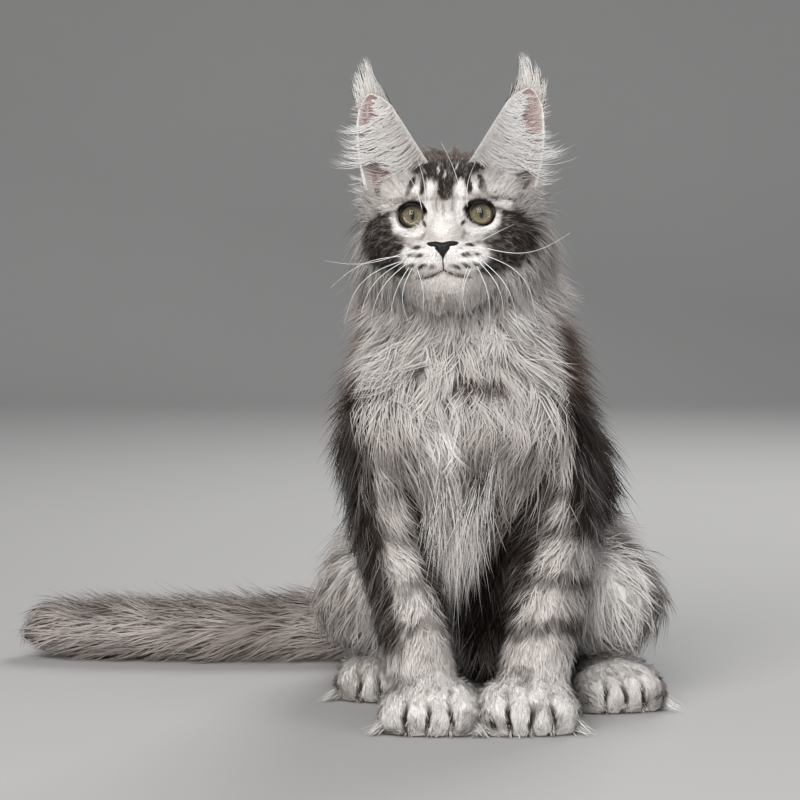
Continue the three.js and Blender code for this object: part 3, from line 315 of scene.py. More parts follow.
@dataclass
class Leg:
    """The joints of a leg pair on one side."""

    side: Side
    shoulder: Array
    elbow: Array
    wrist: Array
    paw: Array
    knee: Array
    hock: Array
    toes: Array

    @property
    def fore(self) -> Group:
        """The foreleg's group."""
        return Group.FORE_LEFT if self.side is Side.LEFT else Group.FORE_RIGHT

    @property
    def hind(self) -> Group:
        """The hind leg's group."""
        return Group.HIND_LEFT if self.side is Side.LEFT else Group.HIND_RIGHT

    @property
    def fore_ahead(self) -> Array:
        """The way that the forepaw points."""
        return unit(vec(0.1 * self.side.value, -1, 0))

    @property
    def hind_ahead(self) -> Array:
        """The way that the hind foot points."""
        way = self.toes - self.hock
        return unit(vec(way[0], way[1], 0))

    @property
    def feet(self) -> tuple[tuple[str, Array, Array, float, float], ...]:
        """Each foot's name, its middle, its way ahead, and the spread and reach of its toes."""
        return (("forepaw", self.paw, self.fore_ahead, FORE_SPREAD, FORE_REACH),
                ("hind_foot", self.toes, self.hind_ahead, HIND_SPREAD, HIND_REACH))


LEGS = (
    Leg(Side.LEFT, vec(29, -102, 158), vec(42, -116, 110), vec(28, -154, 36), vec(21, -167, 14),
        vec(76, -72, 64), vec(58, 2, 17), vec(80, -104, 10.5)),
    Leg(Side.RIGHT, vec(-54, -102, 158), vec(-56, -116, 110), vec(-43, -154, 36), vec(-35, -167, 14),
        vec(-70, -68, 64), vec(-52, 18, 17), vec(-64, -72, 10.5)),
)
TOE_RADIUS = 8.2
TOE_PLACES = (-1.5, -0.5, 0.5, 1.5)
FORE_SPREAD = 12.2
HIND_SPREAD = 11.6
FORE_REACH = 16.0
HIND_REACH = 12.0
TAIL_LINE = np.array([[0, 44, 34], [-40, 68, 23], [-105, 68, 20],
                      [-180, 64, 20], [-240, 66, 20], [-292, 72, 20]], float)
TAIL_RADII = (17.0, 14.0, 11.5, 10.0, 8.5, 6.0)


def toe_tip(paw: Array, ahead: Array, place: float, spread: float, reach: float) -> Array:
    """The middle of a toe's round end, across from the paw's middle by its place and ahead by its reach."""
    tip = paw + sideways(ahead) * place * spread + ahead * (reach - 2.2 * (abs(place) - 0.5))
    return vec(tip[0], tip[1], TOE_RADIUS + 1)


class Body:
    """The kitten's flesh as soft forms, with the coat that grows on each."""

    STEP = 0.8
    FURTHEST = 8.0  # a point settles by no more than this

    def __init__(self) -> None:
        """Places every form, from the head to the tail."""
        self.forms: list[Egg | Limb] = []
        self._head()
        self._trunk()
        for leg in LEGS:
            self._foreleg(leg)
            self._hind_leg(leg)
        self._tail()

    def _egg(self, group: Group, centre: Array, radii: Sequence[float], coat: float,
             lie: Array | None) -> None:
        """Adds an egg, turned with the head where it belongs to the head."""
        turn = HEAD.turn if group in (Group.HEAD, Group.JAW) else None
        self.forms.append(Egg(group, centre, vec(*radii), coat, lie, turn))

    def _limb(self, group: Group, start: Array, end: Array, radii: tuple[float, float],
              coats: tuple[float, float], lie: Array | None) -> None:
        """Adds a limb."""
        self.forms.append(Limb(group, start, end, radii, coats, lie))

    def _head(self) -> None:
        """The skull, brow, cheeks, muzzle and jaw."""
        def on(x: float, y: float, z: float) -> Array:
            """A point of the head."""
            return HEAD.out(vec(x, y, z))

        head, jaw, down = Group.HEAD, Group.JAW, vec(0, 0.15, -1)
        self._egg(head, on(0, 28, 6.5), (34, 37, 26.5), 8, None)
        self._egg(head, on(0, 3, 4), (16, 12, 12), 3, None)
        self._limb(head, on(0, 5, 5), on(0, -19, -12.5), (10, 7.5), (2, 2), None)
        self._egg(head, on(0, -8, -23), (22, 19, 14), 3, None)
        self._egg(head, on(0, -26.5, -19.5), (7.2, 6, 5.2), 1, None)
        self._egg(jaw, on(0, -12, -40.5), (15, 12.5, 10.5), 4, down)
        self._limb(jaw, on(0, -2, -36), on(0, 20, -38), (12, 17), (8, 18), down)
        for s in (1, -1):
            self._limb(head, on(11 * s, 2, 12), on(25 * s, 7, 8), (7.5, 8.5), (3, 5), None)
            self._egg(head, on(25 * s, 15, -9), (14, 19, 15), 16, None)
            self._egg(head, on(25 * s, 25, -17), (17, 21, 20), 34, None)
            self._egg(head, on(28 * s, 23, 10), (13, 17, 14), 16, None)
            self._limb(head, on(13 * s, -6, -18), on(26 * s, 11, -14), (11, 13), (3, 8), None)
            self._limb(head, on(14 * s, -2, -30), on(24 * s, 16, -25), (11, 13), (5, 16), None)
            self._egg(head, on(11.2 * s, -16.2, -26.2), (14.2, 13.2, 10.6), 2.5, None)
            self._limb(jaw, on(18 * s, 8, -32), on(7 * s, -10, -40), (12, 10), (12, 5), down)

    def _trunk(self) -> None:
        """The neck, chest, belly, shoulders and rump."""
        nape, throat = HEAD.out(vec(0, 36, -12)), vec(-15, -92, 234)
        self._limb(Group.NECK, nape, throat, (35, 38), (34, 36), vec(0, 0.05, -1))
        self._limb(Group.NECK, throat, vec(CHEST_X, -98, 182), (36, 41), (34, 34), vec(0, 0.05, -1))
        withers, waist, seat = vec(CHEST_X, -86, 188), vec(-2, -34, 122), vec(3, 10, SEAT_HEIGHT)
        back = vec(0, 0.55, -0.85)
        self._limb(Group.TRUNK, withers, waist, (43, 53), (28, 32), back)
        self._limb(Group.TRUNK, waist, seat, (53, 54), (32, 26), back)
        self._egg(Group.TRUNK, vec(CHEST_X, -106, CHEST_HEIGHT), (36, 32, 48), 34, vec(0, -0.1, -1))
        self._egg(Group.TRUNK, vec(3, -44, 132), (62, 50, 58), 32, vec(0, 0.4, -0.9))
        for s in (1, -1):
            centre = vec(CHEST_X + SHOULDER_OFFSET * s, -96, CHEST_HEIGHT + 4)
            self._egg(Group.TRUNK, centre, (25, 36, 46), 24, vec(0.1 * s, 0.25, -1))

    def _toes(self, group: Group, paw: Array, ahead: Array, spread: float, reach: float) -> None:
        """Four toes side by side in front of a paw, the middle two reaching furthest.

        Args:
            group: the group that the toes belong to.
            paw: the foot's middle.
            ahead: the way that the foot points.
            spread: the spacing of its toes.
            reach: how far its toes reach.
        """
        across = sideways(ahead)
        for place in TOE_PLACES:
            knuckle = paw + across * place * spread * 0.85 + vec(0, 0, 2.5)
            tip = toe_tip(paw, ahead, place, spread, reach)
            lie = vec(ahead[0], ahead[1], -0.35)
            self._limb(group, knuckle, tip, (TOE_RADIUS, TOE_RADIUS), (4, 4), lie)

    def _foreleg(self, leg: Leg) -> None:
        """The upper arm, forearm, pastern and paw of one side.

        Args:
            leg: the joints of the side.
        """
        g, s = leg.fore, leg.side.value
        lie = vec(0.12 * s, 0.25, -1)
        self._limb(g, leg.shoulder, leg.elbow, (26, 20), (18, 14), lie)
        self._limb(g, leg.elbow, leg.wrist, (19, 13.5), (12, 8), lie)
        self._limb(g, leg.wrist, leg.paw, (14.5, 15), (6, 4), vec(0, -0.7, -0.8))
        self._egg(g, leg.paw + vec(0, -2, -1), (24, 20, 13.5), 4, vec(0, -0.9, -0.4))
        self._toes(g, leg.paw, leg.fore_ahead, FORE_SPREAD, FORE_REACH)

    def _hind_leg(self, leg: Leg) -> None:
        """The thigh, shank and foot of one side.

        Args:
            leg: the joints of the side.
        """
        g, s = leg.hind, leg.side.value
        lie, ahead = vec(0.35 * s, 0.25, -0.9), leg.hind_ahead
        self._limb(g, vec(34 * s, 20, 80), leg.knee, (36, 24), (26, 20), lie)
        self._egg(g, vec(50 * s, -14, 54), (27, 50, 44), 26, lie)
        self._limb(g, leg.knee, leg.hock, (22, 14), (20, 12), lie)
        self._limb(g, leg.hock, leg.toes + vec(0, 14, 2), (13, 12), (8, 5), ahead)
        self._egg(g, leg.toes + vec(0, 8, 0), (23, 20, 11.5), 4, ahead)
        self._toes(g, leg.toes, ahead, HIND_SPREAD, HIND_REACH)

    def _tail(self) -> None:
        """The tail, from the rump along the floor."""
        for start, end, first, last in zip(TAIL_LINE, TAIL_LINE[1:], TAIL_RADII, TAIL_RADII[1:]):
            self._limb(Group.TAIL, start, end, (first, last), (20, 22), unit(end - start))

    def at(self, p: Array) -> Flesh:
        """What is at points. Forms of a group run together, and so do the groups.

        Args:
            p: points, (n, 3).

        Returns:
            The flesh there. Coat and lie are means over the forms, weighted by exp(-distance / COAT_BLEND).
        """
        p = np.asarray(p, float)
        groups: dict[Group, Array] = {}
        weights, coat, lie = np.zeros(len(p)), np.zeros(len(p)), np.zeros((len(p), 3))
        from_nose = unit(p - HEAD.out(BEFORE_NOSE))
        for form in self.forms:
            d, length = form.near(p)
            known = groups.get(form.group)
            groups[form.group] = d if known is None else soft_min(known, d, GROUP_BLEND[form.group])
            w = np.exp(-np.clip(d, -30.0, 60.0) / COAT_BLEND)
            weights += w
            coat += w * length
            lie += w[:, None] * (from_nose if form.lie is None else form.lie)
        core = groups[Group.TRUNK]
        for group, blend in CORE_BLEND.items():
            core = soft_min(core, groups[group], blend)
        skin = core
        for group, blend in LIMB_BLEND.items():
            skin = np.minimum(skin, soft_min(core, groups[group], blend))
        coat, depth = self._coat(p, coat / weights, groups)
        return Flesh(skin, coat, depth, unit(lie), groups)

    @staticmethod
    def _coat(p: Array, coat: Array, groups: dict[Group, Array]) -> tuple[Array, Array]:
        """The coat's length, and how deep below its surface the skin lies.

        The skin lies at a share of the length, but close below the surface on the face, which ends where the
        head is 36 to 48 from its middle, behind 22 to 38, and under the jaw. The coat is short on the
        forehead, about the ears and on the chin.

        Args:
            p: points, (n, 3).
            coat: the mean coat there, (n,).
            groups: each group's distance there.

        Returns:
            The coat's length and the skin's depth, (n,) each.
        """
        own, rest = head_and_rest(groups)
        near = own < 40.0
        q = HEAD.into(p[near])
        m, y, z = np.abs(q[:, 0]), q[:, 1], q[:, 2]
        beyond = ramp(own[near] - rest[near], -5, 5)
        free = np.max([ramp(z, 10, -4), ramp(y, 26, 44), ramp(m, 42, 50), beyond], axis=0)
        chin = np.linalg.norm(q - vec(0, -14, -42), axis=1)
        free = np.minimum(free, np.maximum(ramp(chin, 12, 19), beyond))
        coat = coat.copy()
        coat[near] = np.minimum(coat[near], 3.5 + 50.0 * free)
        depth = coat * (1 - skin_share(coat))
        under = np.maximum(ramp(-z, 34, 44) * ramp(m, 8, 14), ramp(-z, 27, 36) * ramp(m, 14, 23))
        loose = np.max([ramp(m, 38, 49), under, ramp(-z, 47, 55), ramp(y, 22, 38), beyond], axis=0)
        depth[near] = np.minimum(depth[near], 1.4 + 30.0 * loose)
        return coat, depth

    def level(self, p: Array) -> Array:
        """Distance to the surface at which the skin lies."""
        at = self.at(p)
        return at.skin - (at.coat - at.depth)

    def outward(self, p: Array) -> Array:
        """The direction in which level grows fastest, from differences over a small step.

        Args:
            p: points, (n, 3).

        Returns:
            Unit directions, (n, 3).
        """
        shifts = np.vstack([np.eye(3), -np.eye(3)]) * self.STEP
        values = self.level((p[None] + shifts[:, None]).reshape(-1, 3)).reshape(6, -1)
        return unit((values[:3] - values[3:]).T)

    def settle(self, p: Array, level: float) -> tuple[Array, Array]:
        """Points moved along the outward direction to where level has a value, and that direction at each."""
        way = self.outward(p)
        return p + way * np.clip(level - self.level(p), -self.FURTHEST, self.FURTHEST)[:, None], way


BODY = Body()


class Paws:
    """The clefts between the toes, as folds that deepen towards the front."""

    DEPTH = 4.4
    HALF = 2.1

    def __init__(self) -> None:
        """Lists each foot: its middle, the ways ahead and across, the toes' spread and their reach."""
        self.feet: list[tuple[Array, Array, Array, float, float]] = []
        for leg in LEGS:
            for _, paw, ahead, spread, reach in leg.feet:
                self.feet.append((paw, ahead, sideways(ahead), spread, reach))

    def fold(self, p: Array) -> Array:
        """How deep the skin is folded in at points, from 0 to 1.

        The largest of exp(-(distance to a cleft's upright plane / HALF)^2), faded out behind the knuckles and
        away from the foot.

        Args:
            p: points, (n, 3).

        Returns:
            (n,) values.
        """
        most = np.zeros(len(p))
        for paw, ahead, across, spread, reach in self.feet:
            v = p - paw
            forward, aside = v @ ahead, v @ across
            here = ramp(forward, reach - 14, reach - 2) * (forward < reach + 14)
            here = here * (np.abs(aside) < 2.6 * spread)
            for place in (-1.0, 0.0, 1.0):
                wave = 0.8 * np.sin(0.35 * p[:, 2] + 2.1 * place + paw[0])
                middle = place * spread * (0.86 + 0.010 * forward) + wave
                most = np.maximum(most, here * np.exp(-((aside - middle) / self.HALF) ** 2))
        return most


PAWS = Paws()


class Lie:
    """The way that the hair lies: the body's, turned about the eyes, over the cheeks and at the bib."""

    BIB_X = -19.0
    EYE = (27.0, 13.0)  # the eyes turn the hair from this far off, fully at this distance

    def at(self, p: Array) -> Array:
        """Unit directions at points.

        Args:
            p: points, (n, 3).

        Returns:
            Unit directions, (n, 3).
        """
        flesh = BODY.at(p)
        way, q = flesh.lie.copy(), HEAD.into(p)
        head = flesh.head_share
        cheek = head * ramp(np.abs(q[:, 0]), 24.0, 36.0)
        way[:, 1] *= 1 - 0.72 * cheek
        way[:, 2] -= 0.4 * cheek * ramp(q[:, 2], 2.0, -22.0)
        for side in Side:
            v = p - HEAD.eye(side)
            gaze = HEAD.gaze(side)
            away = unit(v - (v @ gaze)[:, None] * gaze)
            w = ramp(np.linalg.norm(v, axis=1), *self.EYE)[:, None]
            way = way * (1 - 0.8 * w) + away * w * 0.9
        front = ramp(p[:, 1], -104.0, -122.0)
        bib = front * ramp(p[:, 2], 208.0, 188.0) * ramp(p[:, 2], 70.0, 100.0)
        way[:, 0] -= np.clip((p[:, 0] - self.BIB_X) / 48.0, -0.8, 0.8) * bib
        collar = (1 - head) * ramp(p[:, 2], 196.0, 226.0)
        way[:, 0] += np.clip((p[:, 0] + 16.0) / 48.0, -1.1, 1.1) * collar
        return unit(way)


LIE = Lie()


class Net:
    """A closed surface drawn through a field of distances on a grid of uneven cells."""

    COARSE = 4  # the field is first worked out at every COARSE-th grid point
    POLISH = 2  # how often each vertex is moved along the field's gradient to where it is nought
    STEP = 0.3

    def __init__(self, xs: Array, ys: Array, zs: Array) -> None:
        """Keeps the grid's coordinates."""
        self.axes = (xs, ys, zs)

    def _points(self, index: Array) -> Array:
        """The places of grid points given by their indices, (n, 3)."""
        return np.stack([self.axes[k][index[:, k]] for k in range(3)], axis=1)

    def _values(self, distance: Callable[[Array], Array]) -> Array:
        """The field on the grid: coarsely everywhere, then again at each point near the surface.

        Args:
            distance: the field, a function of points, (n, 3).

        Returns:
            A value for each grid point.
        """
        shape = tuple(len(a) for a in self.axes)
        coarse = [np.arange(0, n, self.COARSE) for n in shape]
        index = np.stack(np.meshgrid(*coarse, indexing="ij"), -1).reshape(-1, 3)
        rough = distance(self._points(index)).reshape([len(c) for c in coarse])
        for k in range(3):
            rough = np.repeat(rough, self.COARSE, axis=k)
        values = rough[: shape[0], : shape[1], : shape[2]].copy()
        reach = self.COARSE * max(float(np.diff(a).max()) for a in self.axes) * 1.8
        close = np.argwhere(np.abs(values) < reach)
        values[tuple(close.T)] = distance(self._points(close))
        return values

    def mesh(self, distance: Callable[[Array], Array]) -> tuple[Array, Array]:
        """The surface where the distance is nought: one vertex in each cell that it crosses, and one quad
        round each grid edge that it crosses.

        Args:
            distance: a function of points, (n, 3).

        Returns:
            Vertices, (n, 3), and quads, (m, 4), which face outwards.
        """
        value = self._values(distance)
        inside = value < 0
        n = np.array(value.shape) - 1
        count = sum(inside[a : a + n[0], b : b + n[1], c : c + n[2]].astype(np.int8) for a, b, c in CORNERS)
        cells = np.argwhere((count > 0) & (count < 8))
        number = np.full(tuple(n), -1, np.int64)
        number[tuple(cells.T)] = np.arange(len(cells))
        at = np.stack([value[tuple((cells + c).T)] for c in CORNERS], axis=1)
        place = np.stack([self._points(cells + c) for c in CORNERS], axis=1)
        total, crossings = np.zeros((len(cells), 3)), np.zeros(len(cells))
        for a in range(8):
            for b in (a | 1, a | 2, a | 4):
                if b == a:
                    continue
                cross = (at[:, a] < 0) != (at[:, b] < 0)
                t = np.where(cross, at[:, a] / np.where(cross, at[:, a] - at[:, b], 1.0), 0.0)[:, None]
                total += np.where(cross[:, None], place[:, a] * (1 - t) + place[:, b] * t, 0.0)
                crossings += cross
        vertices = total / crossings[:, None]
        low, high = place[:, 0], place[:, 7]
        for _ in range(self.POLISH):
            vertices = np.clip(self._pulled(distance, vertices), low, high)
        return vertices, self._quads(inside, number)

    @staticmethod
    def _pulled(distance: Callable[[Array], Array], p: Array) -> Array:
        """Points moved against the field's value along its gradient.

        Args:
            distance: the field, a function of points, (n, 3).
            p: points, (n, 3).

        Returns:
            The moved points.
        """
        here = distance(p)
        slope = np.stack([distance(p + Net.STEP * e) - here for e in np.eye(3)], axis=1) / Net.STEP
        return p - slope * (here / np.maximum((slope * slope).sum(1), 0.2))[:, None]

    @staticmethod
    def _quads(inside: Array, number: Array) -> Array:
        """A quad of the four cells round each grid edge with one end inside, turned to face outwards.

        Args:
            inside: whether each grid point is inside.
            number: the number of each cell's vertex.

        Returns:
            (m, 4) numbers of vertices.
        """
        quads = []
        for axis in range(3):
            u, w = np.eye(3, dtype=int)[(axis + 1) % 3], np.eye(3, dtype=int)[(axis + 2) % 3]
            here = np.take(inside, range(inside.shape[axis] - 1), axis)
            there = np.take(inside, range(1, inside.shape[axis]), axis)
            edges = np.argwhere(here != there)
            ring = [edges, edges - u, edges - u - w, edges - w]
            quad = np.stack([number[tuple(r.T)] for r in ring], axis=1)
            enters = ~here[tuple(edges.T)]
            quad[enters] = quad[enters][:, ::-1]
            quads.append(quad)
        return np.concatenate(quads)


def grid_axis(stops: Sequence[tuple[float, float]], end: float) -> Array:
    """Coordinates that grow from the first stop to the end; each stop is a start and the step from there.

    Args:
        stops: pairs of a start and a step.
        end: the last coordinate.

    Returns:
        The coordinates, in order.
    """
    bounds = [s[0] for s in stops] + [end]
    parts = [np.linspace(a, b, max(1, round((b - a) / step)), endpoint=False)
             for (a, step), b in zip(stops, bounds[1:])]
    return np.concatenate(parts + [np.array([end])])


def grid_quads(rows: int, columns: int, ring: bool = True, closed: bool = False) -> Array:
    """Quads between points kept row by row: a point, the next in its row, and the two below, turning round.

    Args:
        rows: how many rows of points.
        columns: points in a row.
        ring: whether each row closes on itself.
        closed: whether the last row joins the first.

    Returns:
        (m, 4) indices.
    """
    down, across = np.arange(rows if closed else rows - 1), np.arange(columns if ring else columns - 1)
    i, j = np.meshgrid(down, across, indexing="ij")
    below, side = (i + 1) % rows * columns, (j + 1) % columns
    return np.stack([i * columns + j, i * columns + side, below + side, below + j], -1).reshape(-1, 4)


TURNED = [0, 3, 2, 1]  # a quad's corners, the other way round


def outward_quads(points: Array, quads: Array) -> Array:
    """Quads turned round where they enclose a negative volume.

    Args:
        points: (k, 3) points.
        quads: (m, 4) indices.

    Returns:
        The quads, facing outwards.
    """
    a, b, c, d = ((points - points.mean(0))[quads[:, k]] for k in range(4))
    volume = (np.cross(a, b) * c).sum() + (np.cross(a, c) * d).sum()
    return quads if volume > 0 else quads[:, ::-1]


def mesh_object(name: str, vertices: Array, faces: Array) -> bpy.types.Object:
    """A linked mesh object at the origin, from vertices in millimetres and triangles or quads.

    Args:
        name: its name.
        vertices: (n, 3) points.
        faces: (m, 3) or (m, 4) indices.

    Returns:
        The object.
    """
    mesh = bpy.data.meshes.new(name)
    sides = faces.shape[1]
    mesh.vertices.add(len(vertices))
    mesh.vertices.foreach_set("co", (np.asarray(vertices) * MM).astype(np.float32).ravel())
    mesh.loops.add(faces.size)
    mesh.loops.foreach_set("vertex_index", faces.astype(np.int32).ravel())
    mesh.polygons.add(len(faces))
    mesh.polygons.foreach_set("loop_start", np.arange(len(faces), dtype=np.int32) * sides)
    mesh.polygons.foreach_set("use_smooth", np.full(len(faces), True))
    mesh.update(calc_edges=True)
    mesh.validate()
    made = bpy.data.objects.new(name, mesh)
    bpy.context.scene.collection.objects.link(made)
    return made


def make_piece(name: str, shape: tuple[Array, Array], slot: Slot, material: bpy.types.Material,
               colours: Array | None = None, replaced: Sequence[str] = ()) -> bpy.types.Object:
    """A piece of the kitten, which rides the one body.

    Args:
        name: the piece's name.
        shape: its vertices in millimetres, and its faces.
        slot: not used.
        material: its finish.
        colours: linear colours of its vertices, (n, 3), or one for all; None where it has none.
        replaced: the nodes that it replaces.

    Returns:
        The piece.
    """
    piece = mesh_object(name, *shape)
    if colours is not None:
        rgba = np.ones((len(shape[0]), 4), np.float32)
        rgba[:, :3] = np.clip(colours, 0.0, 1.0)
        layer = piece.data.color_attributes.new(COLOUR, "FLOAT_COLOR", "POINT")
        layer.data.foreach_set("color", rgba.ravel())
    piece.data.materials.append(material)
    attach(piece, "root")
    if replaced:
        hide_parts(*replaced)
    log.info("%s: %d faces", name, len(shape[1]))
    return piece


def unwrap(piece: bpy.types.Object, name: str, places: Array) -> None:
    """Stores a UV map from one place for each vertex.

    Args:
        piece: the mesh object.
        name: the map's name.
        places: (n, 2) places on the map.
    """
    index = np.empty(len(piece.data.loops), np.int32)
    piece.data.loops.foreach_get("vertex_index", index)
    layer = piece.data.uv_layers.new(name=name)
    layer.data.foreach_set("uv", places[index].astype(np.float32).ravel())


def tube(line: Array, radii: Array, sides: int,
         guide: Sequence[float] = (0.3, 0.2, 1)) -> tuple[Array, Array]:
    """A closed round tube with pointed ends along a line.

    Args:
        line: (k, 3) points.
        radii: (k,) radii.
        sides: corners of each ring.
        guide: a direction that is nowhere the line's own.

    Returns:
        Vertices and triangles.
    """
    ahead = unit(np.gradient(line, axis=0))
    across = unit(np.cross(ahead, np.broadcast_to(vec(*guide), line.shape)))
    up = np.cross(across, ahead)
    a = np.arange(sides) * 2 * math.pi / sides
    ring = across[:, None] * np.cos(a)[None, :, None] + up[:, None] * np.sin(a)[None, :, None]
    points = line[:, None] + ring * radii[:, None, None]
    count = len(line)
    quads = grid_quads(count, sides)
    k = np.arange(sides)
    first, last = count * sides, count * sides + 1
    end = (count - 1) * sides
    caps = [np.stack([np.full(sides, first), (k + 1) % sides, k], 1),
            np.stack([np.full(sides, last), k + end, (k + 1) % sides + end], 1)]
    triangles = np.concatenate([quads[:, [0, 1, 2]], quads[:, [0, 2, 3]], *caps])
    vertices = np.concatenate([points.reshape(-1, 3), line[:1], line[-1:]])
    return vertices, triangles


def spline(points: Array, count: int) -> Array:
    """A smooth line through points: Catmull-Rom pieces, sampled evenly in the point number.

    Args:
        points: (k, 3) points to pass through.
        count: how many points to give.

    Returns:
        (count, 3) points.
    """
    points = np.asarray(points, float)
    padded = np.vstack([2 * points[0] - points[1], points, 2 * points[-1] - points[-2]])
    s = np.linspace(0, len(points) - 1, count)
    i = np.minimum(s.astype(int), len(points) - 2)
    t = (s - i)[:, None]
    a, b, c, d = (padded[i + k] for k in range(4))
    return 0.5 * (2 * b + (c - a) * t + (2 * a - 5 * b + 4 * c - d) * t**2 + (3 * b - a - 3 * c + d) * t**3)


def joined(parts: Sequence[tuple[Array, Array]]) -> tuple[Array, Array]:
    """Several meshes, each vertices and faces, as one.

    Args:
        parts: the meshes.

    Returns:
        Vertices and faces.
    """
    offsets = np.cumsum([0] + [len(v) for v, _ in parts[:-1]])
    faces = [f + o for (_, f), o in zip(parts, offsets)]
    return np.concatenate([v for v, _ in parts]), np.concatenate(faces)


# Materials


class Shader:
    """A material under construction, with short calls for its nodes."""

    def __init__(self, name: str) -> None:
        """Makes a material with its Principled BSDF.

        Args:
            name: the material's name.
        """
        self.material = bpy.data.materials.new(name)
        self.material.use_nodes = True
        self.tree = self.material.node_tree
        self.surface = self.tree.nodes["Principled BSDF"]
        self.output = self.tree.nodes["Material Output"]

    def node(self, kind: str, **settings: object) -> bpy.types.Node:
        """Adds a node. A setting with the name of an input goes to that input, another to the node.

        Args:
            kind: the node's type.
            settings: what to set, by name.

        Returns:
            The node.
        """
        made = self.tree.nodes.new(kind)
        for key, value in settings.items():
            word = key.replace("_", " ").title()
            if word in made.inputs:
                self.put(value, made.inputs[word])
            else:
                setattr(made, key, value)
        return made

    def put(self, value: object, socket: bpy.types.NodeSocket) -> None:
        """Links an output to a socket, or sets the socket to a constant.

        Args:
            value: an output, or a constant.
            socket: the input.
        """
        if isinstance(value, bpy.types.NodeSocket):
            self.tree.links.new(value, socket)
        else:
            socket.default_value = value

    def set(self, **values: object) -> None:
        """Sets inputs of the Principled BSDF by name."""
        for key, value in values.items():
            self.put(value, self.surface.inputs[key.replace("_", " ")])

    def uv(self, name: str, scale: tuple[float, float, float]) -> bpy.types.NodeSocket:
        """A UV map's coordinates, scaled."""
        places = self.node("ShaderNodeUVMap", uv_map=name).outputs["UV"]
        return self.node("ShaderNodeMapping", vector=places, scale=scale).outputs["Vector"]

    def place(self) -> bpy.types.NodeSocket:
        """Object coordinates."""
        return self.node("ShaderNodeTexCoord").outputs["Object"]

    def noise(self, vector: bpy.types.NodeSocket, scale: float, detail: float = 3.0) -> bpy.types.NodeSocket:
        """Noise from 0 to 1."""
        return self.node("ShaderNodeTexNoise", vector=vector, scale=scale, detail=detail).outputs["Fac"]

    def spread(self, fac: bpy.types.NodeSocket, low: float, high: float) -> bpy.types.NodeSocket:
        """A value from 0 to 1 brought between low and high."""
        return self.node("ShaderNodeMapRange", value=fac, to_min=low, to_max=high).outputs["Result"]

    def blend(self, fac: bpy.types.NodeSocket, low: Sequence[float],
              high: Sequence[float]) -> bpy.types.NodeSocket:
        """A colour between two, by a value from 0 to 1.

        Args:
            fac: the value.
            low: the colour at 0.
            high: the colour at 1.

        Returns:
            The colour's output.
        """
        made = self.node("ShaderNodeValToRGB", fac=fac)
        for stop, colour in zip(made.color_ramp.elements, (low, high)):
            stop.color = (*colour, 1.0)
        return made.outputs["Color"]

    def times(self, colour: bpy.types.NodeSocket, fac: bpy.types.NodeSocket) -> bpy.types.NodeSocket:
        """A colour times a value."""
        made = self.node("ShaderNodeVectorMath", operation="SCALE", vector=colour, scale=fac)
        return made.outputs["Vector"]

    def own(self, fac: bpy.types.NodeSocket) -> bpy.types.NodeSocket:
        """The colour that the mesh carries, times a value."""
        return self.times(self.node("ShaderNodeAttribute", attribute_name=COLOUR).outputs["Color"], fac)

    def bump(self, height: bpy.types.NodeSocket, depth: float, strength: float) -> None:
        """Bumps of a depth in metres on the surface's normal."""
        made = self.node("ShaderNodeBump", height=height, distance=depth, strength=strength)
        self.set(Normal=made.outputs["Normal"])


@dataclass(frozen=True)
class HairFinish:
    """The finish of tufts: the colour that each carries, with fine strands along it."""

    name: str
    roughness: float = 0.62
    strands: float = 7.0  # across one tuft
    contrast: float = 0.2

    def make(self) -> bpy.types.Material:
        """The material, from the tuft's colour and its own strand map.

        Returns:
            The material.
        """
        shader = Shader(self.name)
        across = shader.uv("Strand", (self.strands, 0.6, 1.0))
        fine = shader.noise(across, 2.2, 2.0)
        shade = shader.spread(fine, 1.0 - self.contrast, 1.0 + self.contrast)
        shader.set(
            Base_Color=shader.own(shade),
            Roughness=shader.spread(fine, self.roughness - 0.08, self.roughness + 0.1),
            Specular_IOR_Level=0.12,
            Sheen_Weight=0.03,
            Sheen_Roughness=0.4,
        )
        shader.bump(fine, 0.00015, 0.6)
        return shader.material


@dataclass(frozen=True)
class SkinFinish:
    """The finish of the skin between the tufts: the coat's colour over short bumpy fur."""

    name: str

    def make(self) -> bpy.types.Material:
        """The material, from the colour that the skin carries.

        Returns:
            The material.
        """
        shader = Shader(self.name)
        place = shader.place()
        fine = shader.noise(place, 900.0, 3.0)
        broad = shader.noise(place, 160.0, 2.0)
        shader.set(
            Base_Color=shader.own(shader.spread(fine, 0.7, 1.25)),
            Roughness=shader.spread(broad, 0.75, 0.95),
            Specular_IOR_Level=0.2,
        )
        shader.bump(fine, 0.0005, 0.8)
        return shader.material


@dataclass(frozen=True)
class LeatherFinish:
    """Bare dark skin, as of the nose, lids and lips."""

    name: str
    roughness: float
    grain: float = 2600.0

    def make(self) -> bpy.types.Material:
        """The material: cells of fine leather with a moist sheen between them.

        Returns:
            The material.
        """
        shader = Shader(self.name)
        place = shader.place()
        cells = shader.node("ShaderNodeTexVoronoi", feature="DISTANCE_TO_EDGE", vector=place,
                            scale=self.grain)
        tone = shader.spread(shader.noise(place, 500.0), 0.6, 1.5)
        shader.set(
            Base_Color=shader.own(tone),
            Roughness=shader.spread(shader.noise(place, 900.0), self.roughness - 0.1, self.roughness + 0.12),
            Specular_IOR_Level=0.3,
        )
        shader.bump(cells.outputs["Distance"], 0.00012, 0.5)
        return shader.material


